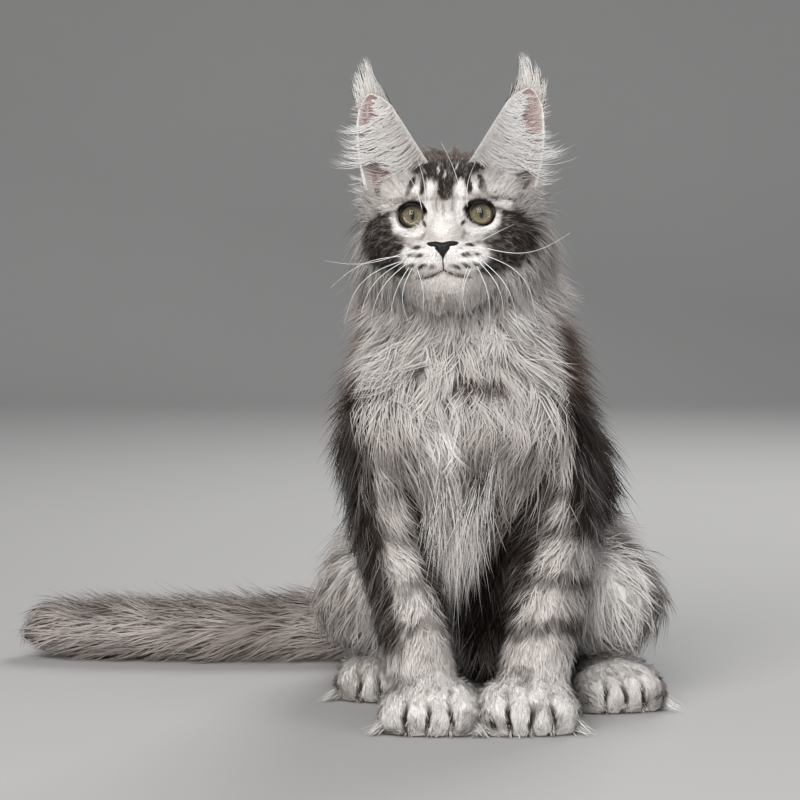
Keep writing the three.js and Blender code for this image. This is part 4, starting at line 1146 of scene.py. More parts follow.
@dataclass(frozen=True)
class EyeFinish:
    """The eyeball: a khaki iris with fine rays and a dark rim, round a narrow upright pupil."""

    name: str

    def make(self) -> bpy.types.Material:
        """The material, from the colour that the ball carries, with rays on its own map.

        Returns:
            The material.
        """
        shader = Shader(self.name)
        rays = shader.noise(shader.uv("Iris", (26.0, 2.4, 1.0)), 3.0, 4.0)
        flecks = shader.noise(shader.uv("Iris", (60.0, 9.0, 1.0)), 2.0, 3.0)
        colour = shader.times(shader.own(shader.spread(rays, 0.45, 1.55)), shader.spread(flecks, 0.75, 1.25))
        shader.set(Base_Color=colour, Roughness=shader.spread(flecks, 0.4, 0.55), Specular_IOR_Level=0.12)
        shader.bump(rays, 0.00025, 0.5)
        return shader.material


@dataclass(frozen=True)
class CorneaFinish:
    """The clear front of the eye: see-through, with the reflections of a wet surface."""

    name: str

    def make(self) -> bpy.types.Material:
        """The material: a clear shader mixed with a gloss by Fresnel's share.

        Returns:
            The material.
        """
        shader = Shader(self.name)
        clear = shader.node("ShaderNodeBsdfTransparent")
        gloss = shader.node("ShaderNodeBsdfGlossy", roughness=0.03)
        share = shader.node("ShaderNodeFresnel")
        share.inputs["IOR"].default_value = 1.45
        mix = shader.node("ShaderNodeMixShader")
        for source, socket in zip((share, clear, gloss), mix.inputs):
            shader.put(source.outputs[0], socket)
        shader.put(mix.outputs[0], shader.output.inputs["Surface"])
        shader.tree.nodes.remove(shader.surface)
        return shader.material


@dataclass(frozen=True)
class HornFinish:
    """Claws: pale horn, a little see-through, darker at the root."""

    name: str

    def make(self) -> bpy.types.Material:
        """The material, with faint lengthwise growth lines.

        Returns:
            The material.
        """
        shader = Shader(self.name)
        lines = shader.noise(shader.place(), 1200.0, 2.0)
        shader.set(
            Base_Color=shader.own(shader.spread(lines, 0.8, 1.15)),
            Roughness=shader.spread(lines, 0.25, 0.4),
            Subsurface_Weight=0.2,
            Subsurface_Scale=0.002,
        )
        return shader.material


class Finishes:
    """Every finish of the kitten, each made once."""

    def __init__(self) -> None:
        """Makes the materials."""
        self.hair = HairFinish("kitten_hair").make()
        self.down = HairFinish("short_fur", roughness=0.7, strands=4.0).make()
        self.skin = SkinFinish("furred_skin").make()
        self.nose = LeatherFinish("nose_skin", 0.5).make()
        self.lid = LeatherFinish("lid_skin", 0.5, 1800.0).make()
        self.eye = EyeFinish("iris").make()
        self.cornea = CorneaFinish("cornea").make()
        self.horn = HornFinish("claw_horn").make()


# Markings


@dataclass
class Tones:
    """How the coat looks at some points: from 0 to 1, how dark, how white and how rusty it is."""

    dark: Array
    white: Array
    rust: Array

    def darken(self, mark: Array, dark: float, share: float = 0.0) -> None:
        """Makes a mark at least this dark, and takes a share of the white away."""
        self.dark = np.maximum(self.dark, dark * mark)
        self.white = self.white * (1 - share * mark)

    def lighten(self, mark: Array, share: float, white: float = 0.0) -> None:
        """Takes a share of the dark away from a mark, and makes it at least this white."""
        self.dark = self.dark * (1 - share * mark)
        self.white = np.maximum(self.white, white * mark)


@dataclass(frozen=True)
class Patch:
    """A soft round or long mark in two coordinates of the head or of the body.

    middle and half are its centre and half-axes, turn its angle in degrees, and edge how far its rim fades.
    """

    middle: tuple[float, float]
    half: tuple[float, float]
    turn: float = 0.0
    edge: float = 0.35

    def at(self, x: Array, z: Array) -> Array:
        """1 inside and 0 outside, from the distance over the half-axes.

        Args:
            x: (n,) places across.
            z: (n,) heights.

        Returns:
            (n,) values.
        """
        a = math.radians(self.turn)
        u, w = x - self.middle[0], z - self.middle[1]
        d = np.hypot((u * math.cos(a) + w * math.sin(a)) / self.half[0],
                     (w * math.cos(a) - u * math.sin(a)) / self.half[1])
        return ramp(d, 1.0 + self.edge, 1.0 - self.edge)


class Markings:
    """The silver tabby's markings, with some painted shade, as sums of soft patches and stripes on the head,
    body, legs and tail.
    """

    CROWN = (Patch((0, 33), (25, 14.5), edge=0.2), Patch((0, 17), (5.8, 9.5), edge=0.25),
             Patch((13.4, 19), (2.2, 9), 8), Patch((22.0, 17), (2.2, 8), 22))
    FLECKS = (Patch((-4.6, 27), (0.7, 2.6)), Patch((-1.0, 24), (0.7, 2.6)), Patch((5.0, 28), (0.6, 3), -15))
    FOREHEAD = (Patch((9.0, 14.6), (1.9, 5.8), 4, 0.25), Patch((17.8, 13.8), (2.0, 5.0), 10, 0.25))
    BRIDGE = (Patch((9.0, 1), (2.4, 8)), Patch((0, -6), (7.0, 9), edge=0.5))
    STREAKS = (Patch((4.6, 7), (0.8, 6.5)), Patch((11.6, -12.0), (1.1, 3.6), 15), Patch((0.6, 5), (0.7, 7)))
    MASK = (Patch((38.5, -15), (16.0, 17.5), 8, 0.2), Patch((33, 1.0), (10, 2.2), -14),
            Patch((29, -30), (11, 7), 20))
    # painted shadow: a soft dark band under the whisker pads, along the mouth
    PAD_SHADOW = (Patch((7, -36.5), (9, 1.8), -10, 0.7),)
    MASK_LIGHT = (Patch((26, -12), (5.0, 4.0), edge=0.7),)
    ROWS = (Patch((16.0, -18.9), (6.0, 1.5), 10, 0.4), Patch((15.5, -24.2), (6.5, 1.5), 2, 0.4),
            Patch((13.0, -31.0), (10.0, 2.1), 6, 0.5))
    PAD = (Patch((12, -25), (14.5, 8.5), edge=0.2),)
    CHIN = (Patch((0, -43), (12, 9), edge=0.35),)
    TEMPLE = (Patch((30, 13), (12, 8), 20, 0.5),)
    EYE_CORNER = (Patch((11.2, -6.0), (1.0, 2.6), -30, 0.4),)
    # painted shade: a dark line where the ruff folds over the chest
    CREASE = (Patch((-5, 204), (16, 6.0), -8, 0.4),)
    BROWN = (Patch((-49, 152), (9, 17), 0, 0.5), Patch((-2, 158), (14, 9), 10, 0.5))
    LOCKS = (Patch((-31, 172), (5, 15), -12), Patch((-21, 164), (4.5, 16), 4))
    # dark fur with painted shade under the bib, between the forelegs
    UNDER = (Patch((-14, 134), (24, 36), 0, 0.4),)

    def __init__(self) -> None:
        """Makes the noises that break the marks' edges."""
        self.coarse = Noise(11)
        self.fine = Noise(12)

    @staticmethod
    def _most(patches: Sequence[Patch], x: Array, z: Array) -> Array:
        """The strongest of several patches at each point."""
        return np.max([patch.at(x, z) for patch in patches], axis=0)

    def _head(self, q: Array) -> Tones:
        """The head's marks, at points of the head's frame.

        Args:
            q: points of the head's frame, (n, 3).

        Returns:
            The tones there.
        """
        x = q[:, 0] + 1.2 * self.fine.at(q, 5.0)
        z = q[:, 2] + 1.2 * self.fine.at(q + 90.0, 5.0)
        y, level, m = q[:, 1], q[:, 2], np.abs(x)
        front = ramp(y, 26.0, 8.0)
        far = np.linalg.norm(q - vec(*BEFORE_NOSE), axis=1)
        turn = np.arctan2(level - BEFORE_NOSE[2], q[:, 0])
        streak = self.fine.at(np.stack([turn * 42.0, far / 9.0, np.zeros(len(q))], axis=1), 1.0)
        outside = ramp(far, 34.0, 52.0)
        tones = Tones(0.20 + 0.08 * self.coarse.at(q, 12.0) + 0.26 * streak * outside,
                      0.12 + 0.2 * np.maximum(-streak, 0.0) * outside,
                      0.2 + 0.7 * ramp(z, 27.0, 36.0) * ramp(y, 10.0, 26.0))
        crown = np.maximum(self._most(self.CROWN, m, z), 0.8 * ramp(y, 26.0, 40.0) * ramp(z, 14.0, 26.0))
        tones.darken(crown * ramp(y, 72.0, 58.0), 0.97)
        tones.lighten(self._most(self.FLECKS, x, z), 0.75, 0.6)
        tones.lighten(self._most(self.FOREHEAD, m, z) * front, 0.95, 0.95)
        tones.lighten(self._most(self.BRIDGE, m, z) * front, 0.85, 0.85)
        tones.darken(self._most(self.STREAKS, m, z) * front, 0.55)
        mask = self._most(self.MASK, m, z) * ramp(y, 40.0, 26.0)
        tones.darken(mask * (1.0 + 0.3 * np.minimum(streak, 0.0)), 0.97, 1.0)
        tones.lighten(self._most(self.MASK_LIGHT, m, z), 0.4)
        tones.lighten(self._most(self.TEMPLE, m, z) * front, 0.35, 0.3)
        ring = np.hypot(m - EYE_SPACING / 2, level - 0.3)
        # line: the dark edge over the upper half of each eye, real dark lid skin with painted shadow of the
        # upper lid
        line = ramp(ring, 9.9, 8.9) * ramp(level, -2.0, 4.0)
        # shade: painted shade above each eye, under the brow
        shade = ramp(ring, 15.5, 11.0) * ramp(level, 2.5, 7.0) * ramp(m, 12.0, 17.0)
        tones.darken(shade * front, 0.42)
        tones.darken(line * front, 0.95)
        tones.white = tones.white * (1 - 0.8 * shade) * (1 - line)
        tones.darken(self._most(self.EYE_CORNER, m, level) * front, 0.9)
        tones.lighten(self._under_eye(m, z) * front, 0.95, 1.0)
        tones.lighten(self._most(self.PAD, m, z) * front, 0.9, 0.95)
        tones.darken(self._whisker_rows(x, z) * front, 0.9, 0.8)
        chin = self._most(self.CHIN, m, z) * ramp(y, 12.0, -2.0)
        tones.lighten(chin, 0.92, 0.42)
        # painted shadow under the whisker pads
        tones.darken(self._most(self.PAD_SHADOW, m, level) * ramp(y, 0.0, -10.0), 0.6)
        cheek = ramp(m, 52.0, 58.0)
        tones.dark = tones.dark * (1 - 0.6 * cheek) + 0.3 * ramp(x, 46.0, 56.0)
        tones.rust = np.maximum(tones.rust, np.maximum(0.45 * chin, 0.3 * cheek))
        nape = ramp(y, 30.0, 50.0) * (0.55 + 0.35 * np.cos(x * 0.42))
        tones.darken(nape * ramp(z, -30.0, 5.0), 1.0)
        return tones

    @staticmethod
    def _under_eye(x: Array, z: Array) -> Array:
        """The white crescent below an eye: a band of the circle round it, strongest below and outside.

        Args:
            x: (n,) places across.
            z: (n,) heights.

        Returns:
            (n,) values from 0 to 1.
        """
        u, w = x - EYE_SPACING / 2, z
        r, a = np.hypot(u, w), np.arctan2(w, u)
        band = ramp(np.abs(r - 11.2), 3.0, 1.2) * (1 - 0.5 * ramp(a, -0.9, 0.0))
        return band * ramp(a, 0.35, -0.1) * ramp(a, -2.6, -2.1)

    @classmethod
    def _whisker_rows(cls, x: Array, z: Array) -> Array:
        """Dark streaks in three rows on each pad, beaded by a sine along x.

        Args:
            x: (n,) places across.
            z: (n,) heights.

        Returns:
            (n,) values from 0 to 1.
        """
        m = np.abs(x)
        beads = 0.5 + 0.5 * ramp(np.sin(m * 0.8 + z * 0.9), -0.6, 0.4)
        return cls._most(cls.ROWS, m, z) * beads

    def _body(self, p: Array, flesh: Flesh) -> Tones:
        """The marks of the neck, trunk, legs and tail.

        Args:
            p: points, (n, 3).
            flesh: the flesh at the points.

        Returns:
            The tones there.
        """
        warp = np.stack([self.coarse.at(p + shift, 26.0) for shift in (0.0, 70.0, 140.0)], axis=1)
        x, y, z = (p + 5.0 * warp).T
        mottle = self.coarse.at(p, 30.0)
        near = flesh.nearest
        trunk = (near == Group.TRUNK.value) | (near == Group.NECK.value)
        front = ramp(y, -92.0, -118.0)
        behind = 1 - front
        tones = Tones(0.20 + 0.13 * mottle + 0.07 * self.fine.at(p, 9.0), 0.16 + 0.12 * mottle,
                      0.3 + 0.15 * mottle)
        swirl = 0.5 + 0.5 * np.sin(0.075 * y + 0.06 * z + 1.8 * mottle)
        back = 0.26 + 0.4 * ramp(swirl, 0.45, 0.8) * ramp(y, -60.0, -30.0)
        back = np.maximum(back, 0.72 * ramp(y, -92.0, -70.0) * ramp(z, 176.0, 204.0))
        spine = ramp(np.abs(p[:, 0] + 4.0), 34.0, 14.0) * ramp(y, -70.0, -30.0)
        tones.darken(trunk * behind * np.maximum(back, 0.93 * spine), 1.0)
        # the belly's dark fur with painted shade under the chest, seen between the forelegs
        belly = ramp(np.abs(p[:, 0] + 6.0), 36.0, 24.0) * ramp(z, 112.0, 96.0) * ramp(y, -30.0, -60.0)
        tones.darken(trunk * belly, 0.95)
        tones.rust = tones.rust + trunk * 0.65 * behind * ramp(z, 110.0, 180.0)
        breast = trunk * front
        tones.lighten(breast * ramp(z, 168.0, 184.0), 0.0, 0.5)
        # dark fur and painted shade under the bib and low on the breast
        tones.darken(self._most(self.UNDER, x, z) * breast, 0.8)
        tones.darken(breast * ramp(z, 178.0, 162.0) * (0.8 + 0.4 * mottle), 0.62)
        # painted shade in the chest's crease
        tones.darken(self._most(self.CREASE, x, z) * breast, 0.97, 1.0)
        tones.darken(self._most(self.BROWN, x, z) * breast, 0.62)
        tones.lighten(self._most(self.LOCKS, x, z) * breast, 0.85, 0.85)
        self._legs(p, near, tones)
        self._sides(x, y, z, near, tones)
        tail = near == Group.TAIL.value
        rings = 0.5 + 0.5 * np.sin(p[:, 0] * 0.115 + 1.3 * self.coarse.at(p, 20.0))
        shade = 0.22 + 0.16 * rings + 0.3 * ramp(p[:, 2], 24.0, 42.0) + 0.06 * ramp(p[:, 0], -255.0, -300.0)
        tones.dark = np.where(tail, shade, tones.dark)
        tones.rust = np.where(tail, 0.5, tones.rust)
        return tones

    @staticmethod
    def _sides(x: Array, y: Array, z: Array, near: Array, tones: Tones) -> None:
        """The dark sides behind the forelegs, and the dark brown flank beside the ruff on the left.

        Args:
            x: (n,) places across.
            y: (n,) places along.
            z: (n,) heights.
            near: the value of the nearest group at each point.
            tones: the tones, which are changed.
        """
        trunk = (near == Group.TRUNK.value) | (near == Group.NECK.value)
        both = trunk | (near == Group.FORE_LEFT.value) | (near == Group.FORE_RIGHT.value)
        left, right, m = x > 0, x < 0, np.abs(x - CHEST_X)
        ahead = y + 1.8 * np.clip(m - 44.0, 0.0, 40.0) * left + 0.9 * np.clip(m - 50.0, 0.0, 40.0) * right
        side = ramp(ahead, -122.0, -104.0) * ramp(y, 0.0, -36.0)
        side = side * ramp(z, 92.0, 116.0) * ramp(z, 222.0, 200.0)
        side = side * ramp(m + 8.0 * left, 46.0, 56.0) * (1 - 0.5 * right * ramp(y, -80.0, -50.0))
        flank = ramp(x, 34.0, 44.0) * ramp(ahead, -128.0, -112.0)
        flank = flank * ramp(z, 182.0, 200.0) * ramp(z, 252.0, 232.0)
        tones.darken(both * side, 0.98)
        tones.darken(both * flank, 0.9)
        rust = np.maximum(tones.rust, 0.7 * flank) * (1 - 0.35 * ramp(x, 50.0, 60.0))
        tones.rust = np.where(both, rust, tones.rust)
        tones.white = tones.white * (1 - trunk * np.maximum(flank, side))

    def _legs(self, p: Array, near: Array, tones: Tones) -> None:
        """Bars across the forelegs, with dark outer sides and painted shade on their inner sides, white feet,
        painted shade in the clefts between the toes, and haunches with soft bars.

        Args:
            p: points, (n, 3).
            near: the value of the nearest group at each point.
            tones: the tones, which are changed.
        """
        height = p[:, 2]
        z = height + 5.0 * self.coarse.at(p, 18.0)
        bars = ramp(np.sin(z * 0.23 + 0.8) + 0.4 * self.fine.at(p, 8.0), 0.0, 0.8)
        foot = ramp(height, 40.0, 24.0)
        for leg in LEGS:
            s, left = leg.side.value, leg.side is Side.LEFT
            t = np.clip((z - leg.wrist[2]) / (leg.elbow[2] - leg.wrist[2]), 0.0, 1.4)
            out = (p[:, 0] - (leg.wrist[0] + (leg.elbow[0] - leg.wrist[0]) * t)) * s
            outer = ramp(out, 2.0, 11.0) * ramp(z, 34.0, 50.0) * (0.45 + 0.5 * bars if left else 0.92)
            # painted shade on the inner sides of the forelegs, in the gap between them
            inner = ramp(out, -4.0, -14.0) * ramp(z, 30.0, 52.0) * ramp(p[:, 1], -160.0, -146.0)
            shade = 0.06 + (0.66 if left else 0.56) * bars * ramp(z, 26.0, 50.0) + 0.1 * self.fine.at(p, 7.0)
            shade = shade + (0.28 if left else 0.2) * ramp(z, 100.0, 130.0)
            shade = np.maximum(shade, np.maximum(outer, 0.95 * inner))
            fore, hind = near == leg.fore.value, near == leg.hind.value
            bar = ramp(np.sin(z * 0.12 + p[:, 1] * 0.05), 0.0, 0.8)
            thigh = (0.56 if left else 0.22) + 0.2 * bar + 0.3 * ramp(height, 34.0, 16.0)
            toes = ramp(np.linalg.norm(p[:, :2] - leg.toes[:2], axis=1), 36.0, 26.0)
            dark = [shade * (1 - 0.6 * foot), thigh * (1 - 0.75 * toes)]
            white = [0.35 + 0.4 * foot, np.maximum(0.15, 0.75 * toes)]
            tones.dark = np.select([fore, hind], dark, tones.dark)
            tones.white = np.select([fore, hind], white, tones.white)
        low = height < FEET_TOP
        # painted shade in the clefts between the toes
        cleft = np.zeros(len(p))
        cleft[low] = ramp(PAWS.fold(p[low]), 0.3, 0.8) * ramp(height[low], 24.0, 12.0)
        tones.darken(ramp(height, 60.0, 40.0) * ramp(self.fine.at(p + 33.0, 7.0), 0.0, 0.5), 0.5, 0.4)
        tones.darken(cleft, 0.9, 0.8)

    def at(self, p: Array) -> Tones:
        """The coat's tones at points on the skin.

        Args:
            p: points, (n, 3).

        Returns:
            The tones there.
        """
        flesh = BODY.at(p)
        head, body = self._head(HEAD.into(p)), self._body(p, flesh)
        share = flesh.head_share
        mixed = [share * a + (1 - share) * b for a, b in
                 ((head.dark, body.dark), (head.white, body.white), (head.rust, body.rust))]
        return Tones(*[np.clip(m, 0.0, 1.0) for m in mixed])


MARKINGS = Markings()
SILVER = tuple(linear(c) for c in ((200, 194, 189), (216, 210, 206), (200, 194, 190)))  # root, middle, tip
DARK = tuple(linear(c) for c in ((58, 50, 47), (30, 26, 24), (15, 13, 12)))
WHITE = tuple(linear(c) for c in ((205, 200, 196), (243, 240, 237), (240, 237, 234)))
RUST = linear((150, 108, 84))


def hair_colour(tones: Tones, t: Array) -> Array:
    """The colour along hairs: silver, darker to the tip where the coat is dark, white where it is white.

    Args:
        tones: the tones at n points.
        t: (n,) places along the hairs, from 0 at the root to 1.

    Returns:
        (n, 3) linear colours.
    """
    def along(stops: tuple[Array, Array, Array]) -> Array:
        """A colour through three stops."""
        first, second = np.clip(t / 0.5, 0, 1)[:, None], np.clip((t - 0.5) / 0.5, 0, 1)[:, None]
        return (stops[0] * (1 - first) + stops[1] * first) * (1 - second) + stops[2] * second

    dark = tones.dark[:, None]
    dark = dark + 0.9 * dark**4 * (1 - dark)
    colour = along(SILVER) * (1 - dark) + along(DARK) * dark
    white = (tones.white * (1 - tones.dark))[:, None]
    colour = colour * (1 - white) + along(WHITE) * white
    rusty = tones.rust * (0.32 + 0.42 * tones.rust) * (1 - tones.white)
    rust = rusty[:, None] * (0.4 + 0.6 * (1 - dark))
    return colour * (1 - rust) + RUST * rust


# The skin


class Face:
    """The openings and folds of the face, cut into the field of the skin."""

    LID = 1.5  # the lids' thickness
    OPENING = 7.65
    LIP = ((0.5, -30, -33.0), (5, -29, -34.8), (9.5, -25, -34.6), (13.0, -17, -31.0))
    PHILTRUM = ((0, -32, -25.5), (0, -32, -29), (0, -30, -33))

    def __init__(self) -> None:
        """Works out the mouth's lines on the face."""
        self.lips = {side: self.on_face(np.array(self.LIP) * vec(side.value, 1, 1)) for side in Side}
        self.philtrum = self.on_face(np.array(self.PHILTRUM, float))

    @staticmethod
    def on_face(points: Array, over: float = 0.0) -> Array:
        """Points of the head pushed along rays from its middle until they lie on the face.

        Args:
            points: (k, 3) points.
            over: how far over the face they end.

        Returns:
            The points on the face, in the part's frame.
        """
        centre = HEAD.out(vec(0, 13, -9))
        ways = unit(HEAD.out(points) - centre)
        far = np.linalg.norm(HEAD.out(points) - centre, axis=1)
        for _ in range(30):
            far = far - 0.8 * BODY.level(centre + ways * far[:, None])
        return centre + ways * (far + over)[:, None]

    @staticmethod
    def _to_line(p: Array, line: Array) -> Array:
        """Distance to a broken line.

        Args:
            p: points, (n, 3).
            line: (k, 3) points of the line.

        Returns:
            (n,) distances.
        """
        best = np.full(len(p), 1e9)
        for a, b in zip(line[:-1], line[1:]):
            along = b - a
            t = np.clip((p - a) @ along / (along @ along), 0.0, 1.0)
            best = np.minimum(best, np.linalg.norm(p - a - t[:, None] * along, axis=1))
        return best

    def cut(self, p: Array, d: Array) -> Array:
        """The skin's distance with lids over the eyeballs, sockets, and the grooves of the mouth.

        Args:
            p: points, (n, 3).
            d: the skin's distance there.

        Returns:
            The distance with the face's features.
        """
        near = np.linalg.norm(p - HEAD_AT, axis=1) < 75.0
        q, e = p[near], d[near]
        for side in Side:
            c, axis = HEAD.eye(side), HEAD.gaze(side)
            v = q - c
            r = np.linalg.norm(v, axis=1)
            e = soft_min(e, r - EYEBALL_RADIUS - self.LID, 2.4)
            ahead = v @ axis
            cone = np.maximum(Eye.off_axis(v) - self.OPENING - 0.12 * np.maximum(ahead, 0.0), -ahead)
            e = np.maximum(e, -cone)
            e = np.maximum(e, EYEBALL_RADIUS + 0.1 - r)
        for side in Side:
            groove = self._to_line(q, self.lips[side]) - 0.8
            e = -soft_min(-e, groove, 1.2)
        e = -soft_min(-e, self._to_line(q, self.philtrum) - 0.6, 0.8)
        d = d.copy()
        d[near] = e
        return d


class Skin:
    """One closed skin under the whole coat."""

    FINE = 1.3
    FEET = 1.7
    COARSE = 3.8
    ALONG = 0.7  # the skin has the colour that hairs have here along them
    # painted light: the skin is painted this much brighter to lift the shade in the gaps between tufts
    BRIGHT = 1.08
    REPLACED = ("head", "jaw", "neck", "torso", "shoulder_left", "shoulder_right", "forearm_left",
                "forearm_right", "forepaw_left", "forepaw_right", "hind_foot_left", "hind_foot_right",
                "thigh_left", "thigh_right", "tail_1", "tail_2", "tail_3", "tail_4")

    def __init__(self, face: Face) -> None:
        """Draws the surface, finely about the face, and works out its faces.

        Args:
            face: the face's features.
        """
        self.face = face
        x, y, z = HEAD_AT
        xs = grid_axis([(-318, self.COARSE), (-90, self.FEET), (x - 32, self.FINE), (x + 32, self.FEET),
                        (104, self.COARSE)], 128)
        ys = grid_axis([(-204, self.FEET), (y - 42, self.FINE), (y + 12, self.COARSE)], 104)
        zs = grid_axis([(-4, self.FEET), (34, self.COARSE), (z - 52, self.FINE), (z + 20, self.COARSE)], 352)
        self.vertices, self.quads = Net(xs, ys, zs).mesh(self.distance)
        self.corners = a, b, c, d = tuple(self.vertices[self.quads[:, k]] for k in range(4))
        self.normals = np.cross(c - a, d - b)
        self.areas = np.linalg.norm(self.normals, axis=1) / 2
        self.middles = (a + b + c + d) / 4
        self.flesh = BODY.at(self.middles)

    def distance(self, p: Array) -> Array:
        """The skin's field: the coat's share over the flesh, the face's features, the toes, and the floor.

        Args:
            p: points, (n, 3).

        Returns:
            (n,) distances.
        """
        d = self.face.cut(p, BODY.level(p))
        low = p[:, 2] < FEET_TOP
        d[low] += PAWS.DEPTH * PAWS.fold(p[low])
        return np.maximum(d, 0.6 - p[:, 2])

    def build(self, finishes: Finishes) -> None:
        """Makes the skin's piece, painted with the markings and with painted light that lifts the shade
        between the tufts.

        Args:
            finishes: the kitten's materials.
        """
        colours = hair_colour(MARKINGS.at(self.vertices), np.full(len(self.vertices), self.ALONG))
        shape = self.vertices, self.quads
        make_piece("skin", shape, Slot.COAT, finishes.skin, colours * self.BRIGHT, self.REPLACED)

    def roots(self, count: int, weight: Callable[[Array, Flesh], Array], seed: int) -> Array:
        """Random points on the skin.

        Args:
            count: how many.
            weight: how thickly the coat grows at face centres, from 0.
            seed: of the draw.

        Returns:
            Points, (count, 3).
        """
        random = np.random.default_rng(seed)
        share = self.areas * weight(self.middles, self.flesh)
        chosen = random.choice(len(share), count, p=share / share.sum())
        a, b, c, d = (corner[chosen] for corner in self.corners)
        u, w = random.random((2, count, 1))
        low, high = a * (1 - u) + b * u, d * (1 - u) + c * u
        return low * (1 - w) + high * w


# The coat


@dataclass
class Tufts:
    """Many tufts as lines with colours.

    lines is (n, k, 3), from root to tip, out the direction away from the skin, (n, k, 3), width the greatest
    width of each, colours linear, (n, k, 3), and place each root's place on an unwrap of the skin, (n, 2).
    """

    lines: Array
    out: Array
    width: Array
    colours: Array
    place: Array

    PATCH = 0.003  # of the bake map, for each tuft
    RIDGE = 0.32  # the blade's height, as a share of its width

    def mesh(self) -> tuple[Array, Array, Array, Array, Array, Array]:
        """Each tuft as a closed blade of three sides: flat below, ridged above, widest near a third of its
        length and pointed at its tip.

        Returns:
            Vertices, triangles, and for each vertex a colour, its places on the bake map and on the strand
            map, and a normal between the tuft's own and the coat's.
        """
        n, k, _ = self.lines.shape
        rings = k - 1
        t = np.arange(rings) / rings
        ahead = unit(np.gradient(self.lines, axis=1))[:, :rings]
        across = unit(np.cross(ahead, self.out[:, :rings]))
        up = np.cross(across, ahead)
        shape = (0.62 + 1.5 * t) * (1 - t) ** 0.75
        half = 0.5 * self.width[:, None] * shape[None]
        ridge = self.width[:, None] * self.RIDGE * (1 - 0.6 * t)[None]
        base = self.lines[:, :rings]
        corners = np.stack([base + across * half[..., None], base + up * ridge[..., None],
                            base - across * half[..., None]], axis=2)
        tips = self.lines[:, -1:, :]
        vertices = np.concatenate([corners.reshape(n, rings * 3, 3), tips], axis=1)
        faces = [[0, 1, 2]]
        for a, b in ((3 * r + j, 3 * r + (j + 1) % 3) for r in range(rings) for j in range(3)):
            faces += [[b, a, a + 3], [b, a + 3, b + 3]] if a < 3 * rings - 3 else [[b, a, 3 * rings]]
        each = 3 * rings + 1
        triangles = (np.array(faces)[None] + (np.arange(n) * each)[:, None, None]).reshape(-1, 3)
        colour = [np.repeat(self.colours[:, :rings], 3, axis=1), self.colours[:, -1:]]
        across_map = np.concatenate([np.tile([0.0, 0.5, 1.0], rings), [0.5]])
        along_map = np.concatenate([np.repeat(t, 3), [1.0]])
        local = np.stack([across_map - 0.5, along_map - 0.5], axis=1) * self.PATCH
        bake = self.place[:, None] + local[None]
        shift = np.random.default_rng(5).random((n, 1, 2)) * 9
        strand = np.stack([across_map, along_map], axis=1)[None] + shift
        way = unit(self.out[:, :rings])[:, :, None] + up[:, :, None] * 0.25
        lean = np.stack([across, up * 0.6, -across], axis=2) * 0.3
        normals = np.concatenate([unit(way + lean).reshape(n, rings * 3, 3), unit(self.out[:, -1:])], axis=1)
        return (vertices.reshape(-1, 3), triangles, np.concatenate(colour, axis=1).reshape(-1, 3),
                bake.reshape(-1, 2), strand.reshape(-1, 2), normals.reshape(-1, 3))

    def part(self, chosen: Array) -> "Tufts":
        """Some of the tufts."""
        return Tufts(self.lines[chosen], self.out[chosen], self.width[chosen], self.colours[chosen],
                     self.place[chosen])

    @property
    def triangles_each(self) -> int:
        """Triangles of one tuft."""
        return 6 * (self.lines.shape[1] - 2) + 4


MOST_TRIANGLES = 190_000


def coat_pieces(name: str, tufts: Tufts, material: bpy.types.Material, slot: Slot) -> None:
    """Makes tufts into one or more pieces, none of them too large.

    Args:
        name: the pieces' name, to which a number is added where there are several.
        tufts: the tufts.
        material: their finish.
        slot: the material slot, passed on to make_piece.
    """
    count = math.ceil(len(tufts.lines) * tufts.triangles_each / MOST_TRIANGLES)
    order = np.argsort(tufts.lines[:, 0, 2], kind="stable")
    for i, chosen in enumerate(np.array_split(order, count)):
        vertices, triangles, colours, bake, strand, normals = tufts.part(chosen).mesh()
        own = name if count == 1 else f"{name}_{i + 1}"
        piece = make_piece(own, (vertices, triangles), slot, material, colours)
        unwrap(piece, "OFBake", bake)
        unwrap(piece, "Strand", strand)
        piece.data.normals_split_custom_set_from_vertices(normals.astype(np.float32))


@dataclass(frozen=True)
class Unwrap:
    """A tube-like unwrap of a stretch of skin: the angle round an axis, and the place along it."""

    start: tuple[float, float, float]
    end: tuple[float, float, float]

    def at(self, p: Array) -> Array:
        """u is the angle round the axis and v the place along it, both from 0.01 to 0.99.

        Args:
            p: points, (n, 3).

        Returns:
            (n, 2) places.
        """
        a, b = vec(*self.start), vec(*self.end)
        axis = unit(b - a)
        side = unit(np.cross(axis, vec(0.2, 0.3, 1.0)))
        v = p - a
        angle = np.arctan2(v @ np.cross(axis, side), v @ side)
        along = np.clip(v @ axis / np.linalg.norm(b - a), 0.0, 1.0)
        return np.stack([0.01 + 0.98 * (angle / (2 * math.pi) + 0.5), 0.01 + 0.98 * along], axis=1)


@dataclass(frozen=True)
class CoatRegion:
    """One kind of coat: where it grows, how thick, long, wide and wild it is.

    long and rise are the tufts' length and height as shares of the coat's; least and most bound the length,
    and width is in millimetres. clump is the spacing of the locks that tufts draw together in, gather how far
    they do so at their tips, and stray the share of tufts that leave their lock. wave and curl turn the lie,
    droop sags the tips, and hang lets the outer part fall. deep and window bound where the coat grows, by the
    skin's depth and by place, and apart keeps it off the head's middle. short makes it fine and shorter about
    the eyes. pale, vary and patchy make the colour lighter, and different from tuft to tuft and lock to lock.
    """

    name: str
    groups: tuple[Group, ...]
    tufts: int
    steps: int
    wrap: Unwrap
    long: float
    rise: float
    width: tuple[float, float]
    least: float = 3.0
    most: float = 70.0
    clump: float = 6.0
    gather: float = 0.6
    wave: float = 0.35
    stray: float = 0.06
    curl: float = 0.12
    droop: float = 0.0
    hang: float = 0.0
    deep: tuple[float, float] = (0.0, 99.0)
    window: tuple[tuple[float, float], ...] | None = None
    slot: Slot = Slot.COAT
    short: bool = False
    pale: float = 0.0
    vary: float = 0.04
    patchy: float = 0.08
    apart: float = 0.0
    seed: int = 0


